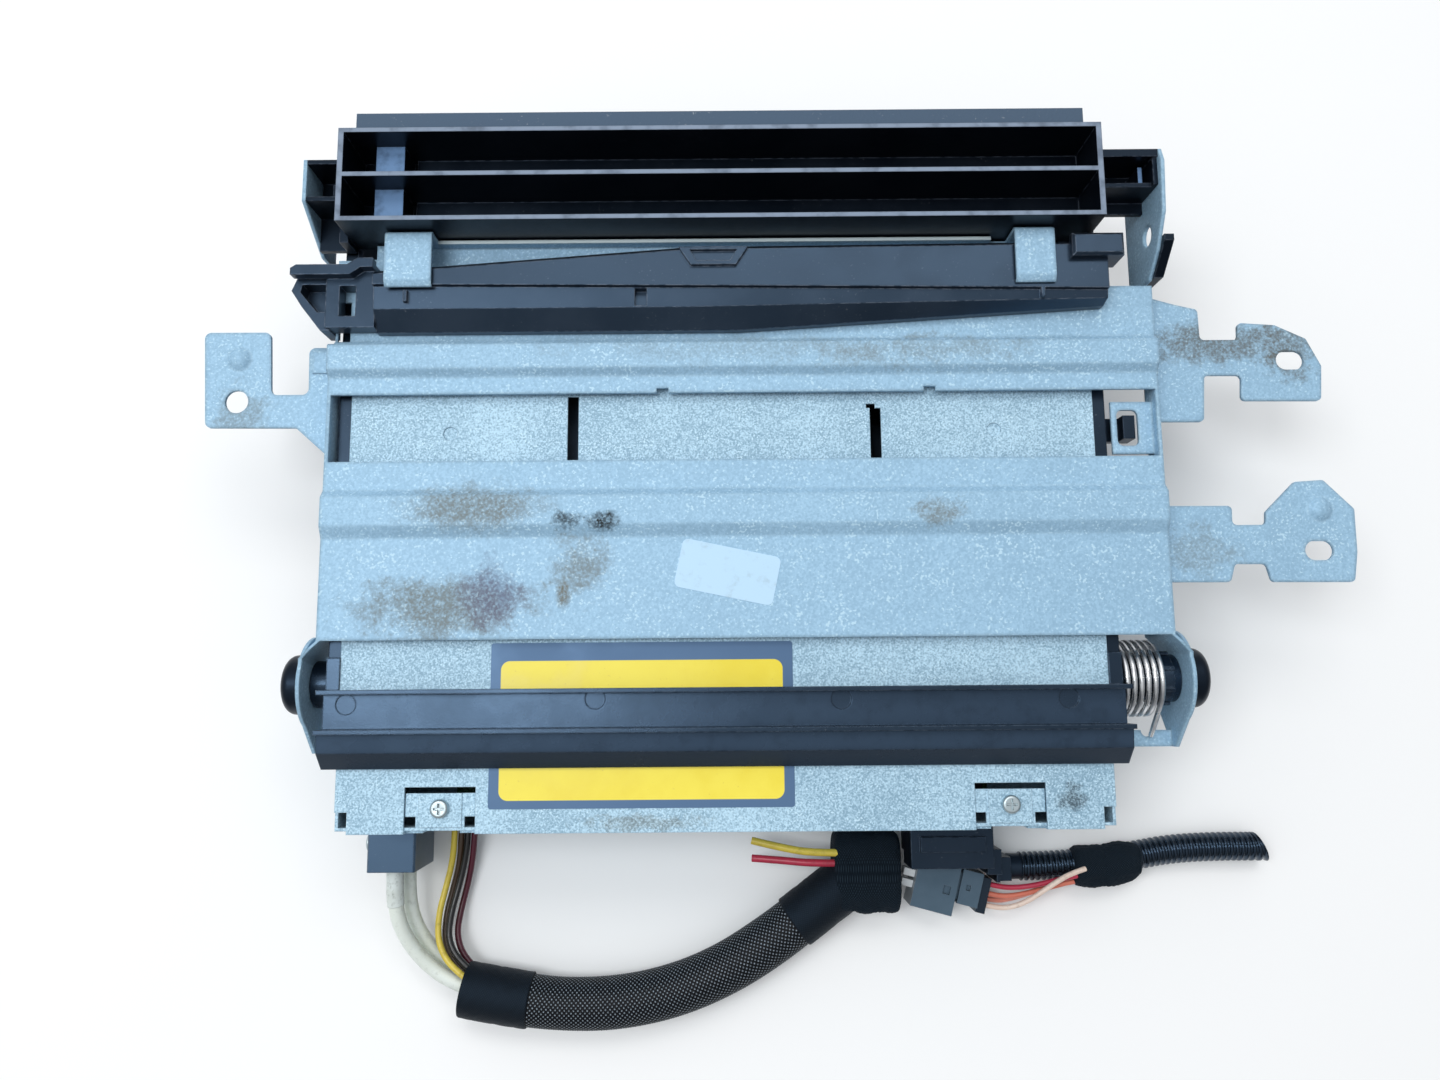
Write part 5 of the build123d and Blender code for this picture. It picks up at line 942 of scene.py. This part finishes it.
def tape_block(name, low, high, power, turns, step, seed, skew=None):
    """A wound block of cloth tape between two corners, closed at both ends.

    Each ring is a superellipse |y/a|^n + |z/b|^n = 1 whose size falls to nothing at the two ends as
    (1 - |t|^10)^(1/6). The windings add a small saw tooth along it and the cloth a seeded unevenness, both
    inwards. skew moves and widens the rings along the way: centre y, half y at five places.
    """
    rows, columns = 90, 168
    t = np.sin(np.linspace(-math.pi / 2, math.pi / 2, rows))
    angle = np.arange(columns) / columns * TURN
    size = np.clip(1 - np.abs(t) ** 10, 1e-4, 1) ** (1 / 6)
    x = high[0] + (low[0] - high[0]) * (t + 1) / 2
    y_middle = np.full(rows, (low[1] + high[1]) / 2)
    y_half = np.full(rows, (high[1] - low[1]) / 2)
    if skew is not None:
        y_middle = np.interp(t, np.linspace(-1, 1, len(skew)), [s[0] for s in skew])
        y_half = np.interp(t, np.linspace(-1, 1, len(skew)), [s[1] for s in skew])
    round_y = np.sign(np.cos(angle)) * np.abs(np.cos(angle)) ** (2 / power)
    round_z = np.sign(np.sin(angle)) * np.abs(np.sin(angle)) ** (2 / power)
    z_middle, z_half = (low[2] + high[2]) / 2, (high[2] - low[2]) / 2
    points = np.empty((rows, columns, 3))
    points[..., 0] = x[:, None]
    points[..., 1] = y_middle[:, None] + y_half[:, None] * size[:, None] * round_y
    points[..., 2] = z_middle + z_half * size[:, None] * round_z
    points *= MM
    centre = np.stack([x, y_middle, np.full(rows, z_middle)], axis=1)[:, None] * MM
    winding = np.mod(turns * (t[:, None] + 1) / 2 + 0.12 * np.sin(angle)[None, :], 1)
    coarse, fine = lumps(points, 8 * MM, seed), lumps(points, 1.6 * MM, seed + 1)
    lowered = step * winding + 0.35 * (1 + coarse) + 0.1 * (1 + fine)
    share = lowered * MM / np.maximum(np.linalg.norm(points - centre, axis=-1), 1 * MM)
    points += (centre - points) * np.clip(share, 0, 0.25)[..., None] * size[:, None, None]
    return rounded_mesh(name, points, along=np.cumsum(np.abs(np.gradient(x))) * MM)


def make_loom():
    """Braided loom with a shrunk sleeve at each end, and the block of cloth tape that it runs into.

    The braid's radius is a core plus the weave's height, with a slow seeded sag.
    """
    line = read_line("braided_loom", LOOM_ROUTE)
    whole = run_length(line)[-1]
    first_end, second_start = SLEEVE_START * MM, whole - SLEEVE_END * MM
    run = np.concatenate(
        [
            np.linspace(0, first_end - 1.5 * MM, 12, endpoint=False),
            np.linspace(first_end - 1.5 * MM, second_start + 1.5 * MM, 370, endpoint=False),
            np.linspace(second_start + 1.5 * MM, whole, 12),
        ]
    )
    angle = np.arange(192) / 192 * TURN
    height = weave_height(run, angle, BRAID_YARNS, BRAID_PITCH * MM)
    centre = points_at(line, run)
    sag = 0.14 * MM * lumps(centre, 30 * MM, 5)
    skin = tube_points(centre, (BRAID_RADIUS + BRAID_RISE * height) * MM + sag[:, None] * 0.4, angle)
    mesh = rounded_mesh("loom_braid", skin, along=run, masks={"crown": height})
    spans = (("sleeve_start", 0.0, first_end, 3), ("sleeve_end", second_start, whole, 8))
    for name, low, high, seed in spans:
        part = points_at(line, np.linspace(low, high, 90))
        tube = sleeve_mesh(name, part, SLEEVE_RADIUS, SLEEVE_WALL, seed)
        sleeve = link("loom_" + name, tube, SHRUNK)
        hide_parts("loom_sleeves")
    wound = tape_block("tape_bundle", (-63.6, 101.5, 0.3), (-39.2, 131.5, 20.5), 4.4, 3, 0.28, 21)
    block = link("tape_bundle", wound, TAPE)
    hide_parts("loom_tape")
    braid = link("loom_braid", mesh, BRAID)
    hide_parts("braided_loom")


def make_conduit():
    """Ribbed conduit with its bore, cut off slanting, the wires cut in it and the fuzzy wrap round it.

    The ribs are tanh(k cos(turns)) / tanh(k), a cosine squared off by k. The cut slides each ring's points
    back along the line by their sideways distance times a slant that grows as a square near the end.
    """
    line = read_line("ribbed_conduit", CONDUIT_ROUTE)
    whole = run_length(line)[-1]
    run = np.linspace(0, whole, 560)
    centre = points_at(line, run)
    angle = np.arange(44) / 44 * TURN
    wave = np.tanh(RIB_SQUARENESS * np.cos(TURN * run / (RIB_PITCH * MM))) / math.tanh(RIB_SQUARENESS)
    outer = tube_points(centre, ((CONDUIT_MIDDLE + CONDUIT_RIB * wave) * MM)[:, None], angle)
    inner = tube_points(centre, CONDUIT_BORE * MM, angle)
    tangent, sideways, _ = ring_frames(centre)
    slant = np.clip((run - whole + 7 * MM) / (7 * MM), 0, 1) ** 2 * 0.42
    for skin in (outer, inner):
        across = ((skin - centre[:, None]) * sideways[:, None]).sum(-1)
        skin -= tangent[:, None] * (across * slant[:, None])[..., None]
    mesh = rounded_mesh("conduit_ribs", np.concatenate([outer, inner[::-1]]), closed_rows=True)
    ways = np.arange(5) / 5 * TURN
    offsets = np.stack([1.75 * np.cos(ways), 1.75 * np.sin(ways), 0.4 + 0.5 * np.arange(5)], axis=1) * MM
    salmon = WIRE_COLOURS["salmon"]
    pink = strand_ends("conduit_wires", line, 22 * MM, offsets, SIGNAL_D * MM, salmon)
    bare = offsets - (0.0, 0.0, 1.0 * MM)
    copper = strand_ends("conduit_copper", line, 8 * MM, bare, 1.1 * MM, COPPER)
    skew = ((116.4, 7.6), (116.6, 8.0), (116.4, 7.9), (115.4, 8.0), (114.0, 6.6))
    wound = tape_block("tape_wrap", (-153.2, 107.4, 0.1), (-128.2, 124.4, 13.6), 2.5, 2, 0.3, 33, skew)
    wrap = link("tape_wrap", wound, TAPE)
    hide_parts("loom_tape")
    ribs = link("conduit_ribs", mesh, CONDUIT)
    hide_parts("ribbed_conduit")


make_leads()
make_wires()
make_loom()
make_conduit()


# ---------------------------------------------------------------- room
def softbox(name, place, aim, size, power, colour):
    """A flat rectangular lamp that looks at a point."""
    data = bpy.data.lights.new(name, "AREA")
    data.shape = "RECTANGLE"
    data.size, data.size_y = size
    data.energy = power
    data.color = colour
    lamp = bpy.data.objects.new(name, data)
    bpy.context.scene.collection.objects.link(lamp)
    lamp.location = place
    lamp.rotation_euler = (Vector(aim) - Vector(place)).to_track_quat("-Z", "Y").to_euler()


def make_sky():
    """Even soft sky, brighter overhead and to the front left than low down behind the wiring."""
    world = bpy.data.worlds.new("soft_sky")
    world.use_nodes = True
    tree = world.node_tree
    way = put(tree, "TexCoord").outputs["Generated"]
    towards = vector(tree, "DOT_PRODUCT", way, (0.24, -0.4, 0.885), "Value")
    background = tree.nodes["Background"]
    background.inputs["Color"].default_value = (0.95, 0.975, 1.0, 1)
    tree.links.new(stretch(tree, towards, -0.1, 0.95, 0.26, 0.8), background.inputs["Strength"])
    bpy.context.scene.world = world


def make_room():
    """Pale floor just under the case, a soft sky and two soft lamps."""
    cells, half_width, below = 6, 3.0, -0.0002
    steps = np.linspace(-half_width, half_width, cells + 1)
    x, y = np.meshgrid(steps, steps, indexing="ij")
    places = np.stack([x, y, np.full_like(x, below)], axis=-1).reshape(-1, 3)
    row, column = np.meshgrid(np.arange(cells), np.arange(cells), indexing="ij")
    first = (row * (cells + 1) + column).ravel()
    faces = np.stack([first, first + cells + 1, first + cells + 2, first + 1], axis=1)
    mesh = bpy.data.meshes.new("floor")
    mesh.from_pydata(places.tolist(), [], faces.tolist())
    floor = bpy.data.objects.new("floor", mesh)
    bpy.context.scene.collection.objects.link(floor)
    material, tree, shader, place = start("pale_floor", Roughness=0.85, Specular_IOR_Level=0.2)
    cloud = noise(tree, place, 400.0, 2.0)
    feed(tree, shader, mixed(tree, cloud, (0.95, 0.95, 0.95), (0.93, 0.93, 0.93)))
    mesh.materials.append(material)
    make_sky()
    softbox("window_lamp", (0.55, -0.1, 1.5), (0.0, 0.0, 0.0), (0.45, 0.8), 9.5, (0.95, 0.98, 1.0))
    softbox("far_lamp", (-0.1, -0.8, 1.45), (0.0, 0.0, 0.05), (1.3, 0.45), 5.5, (1.0, 0.99, 0.97))
    bpy.context.scene.view_settings.view_transform = "Standard"


make_room()
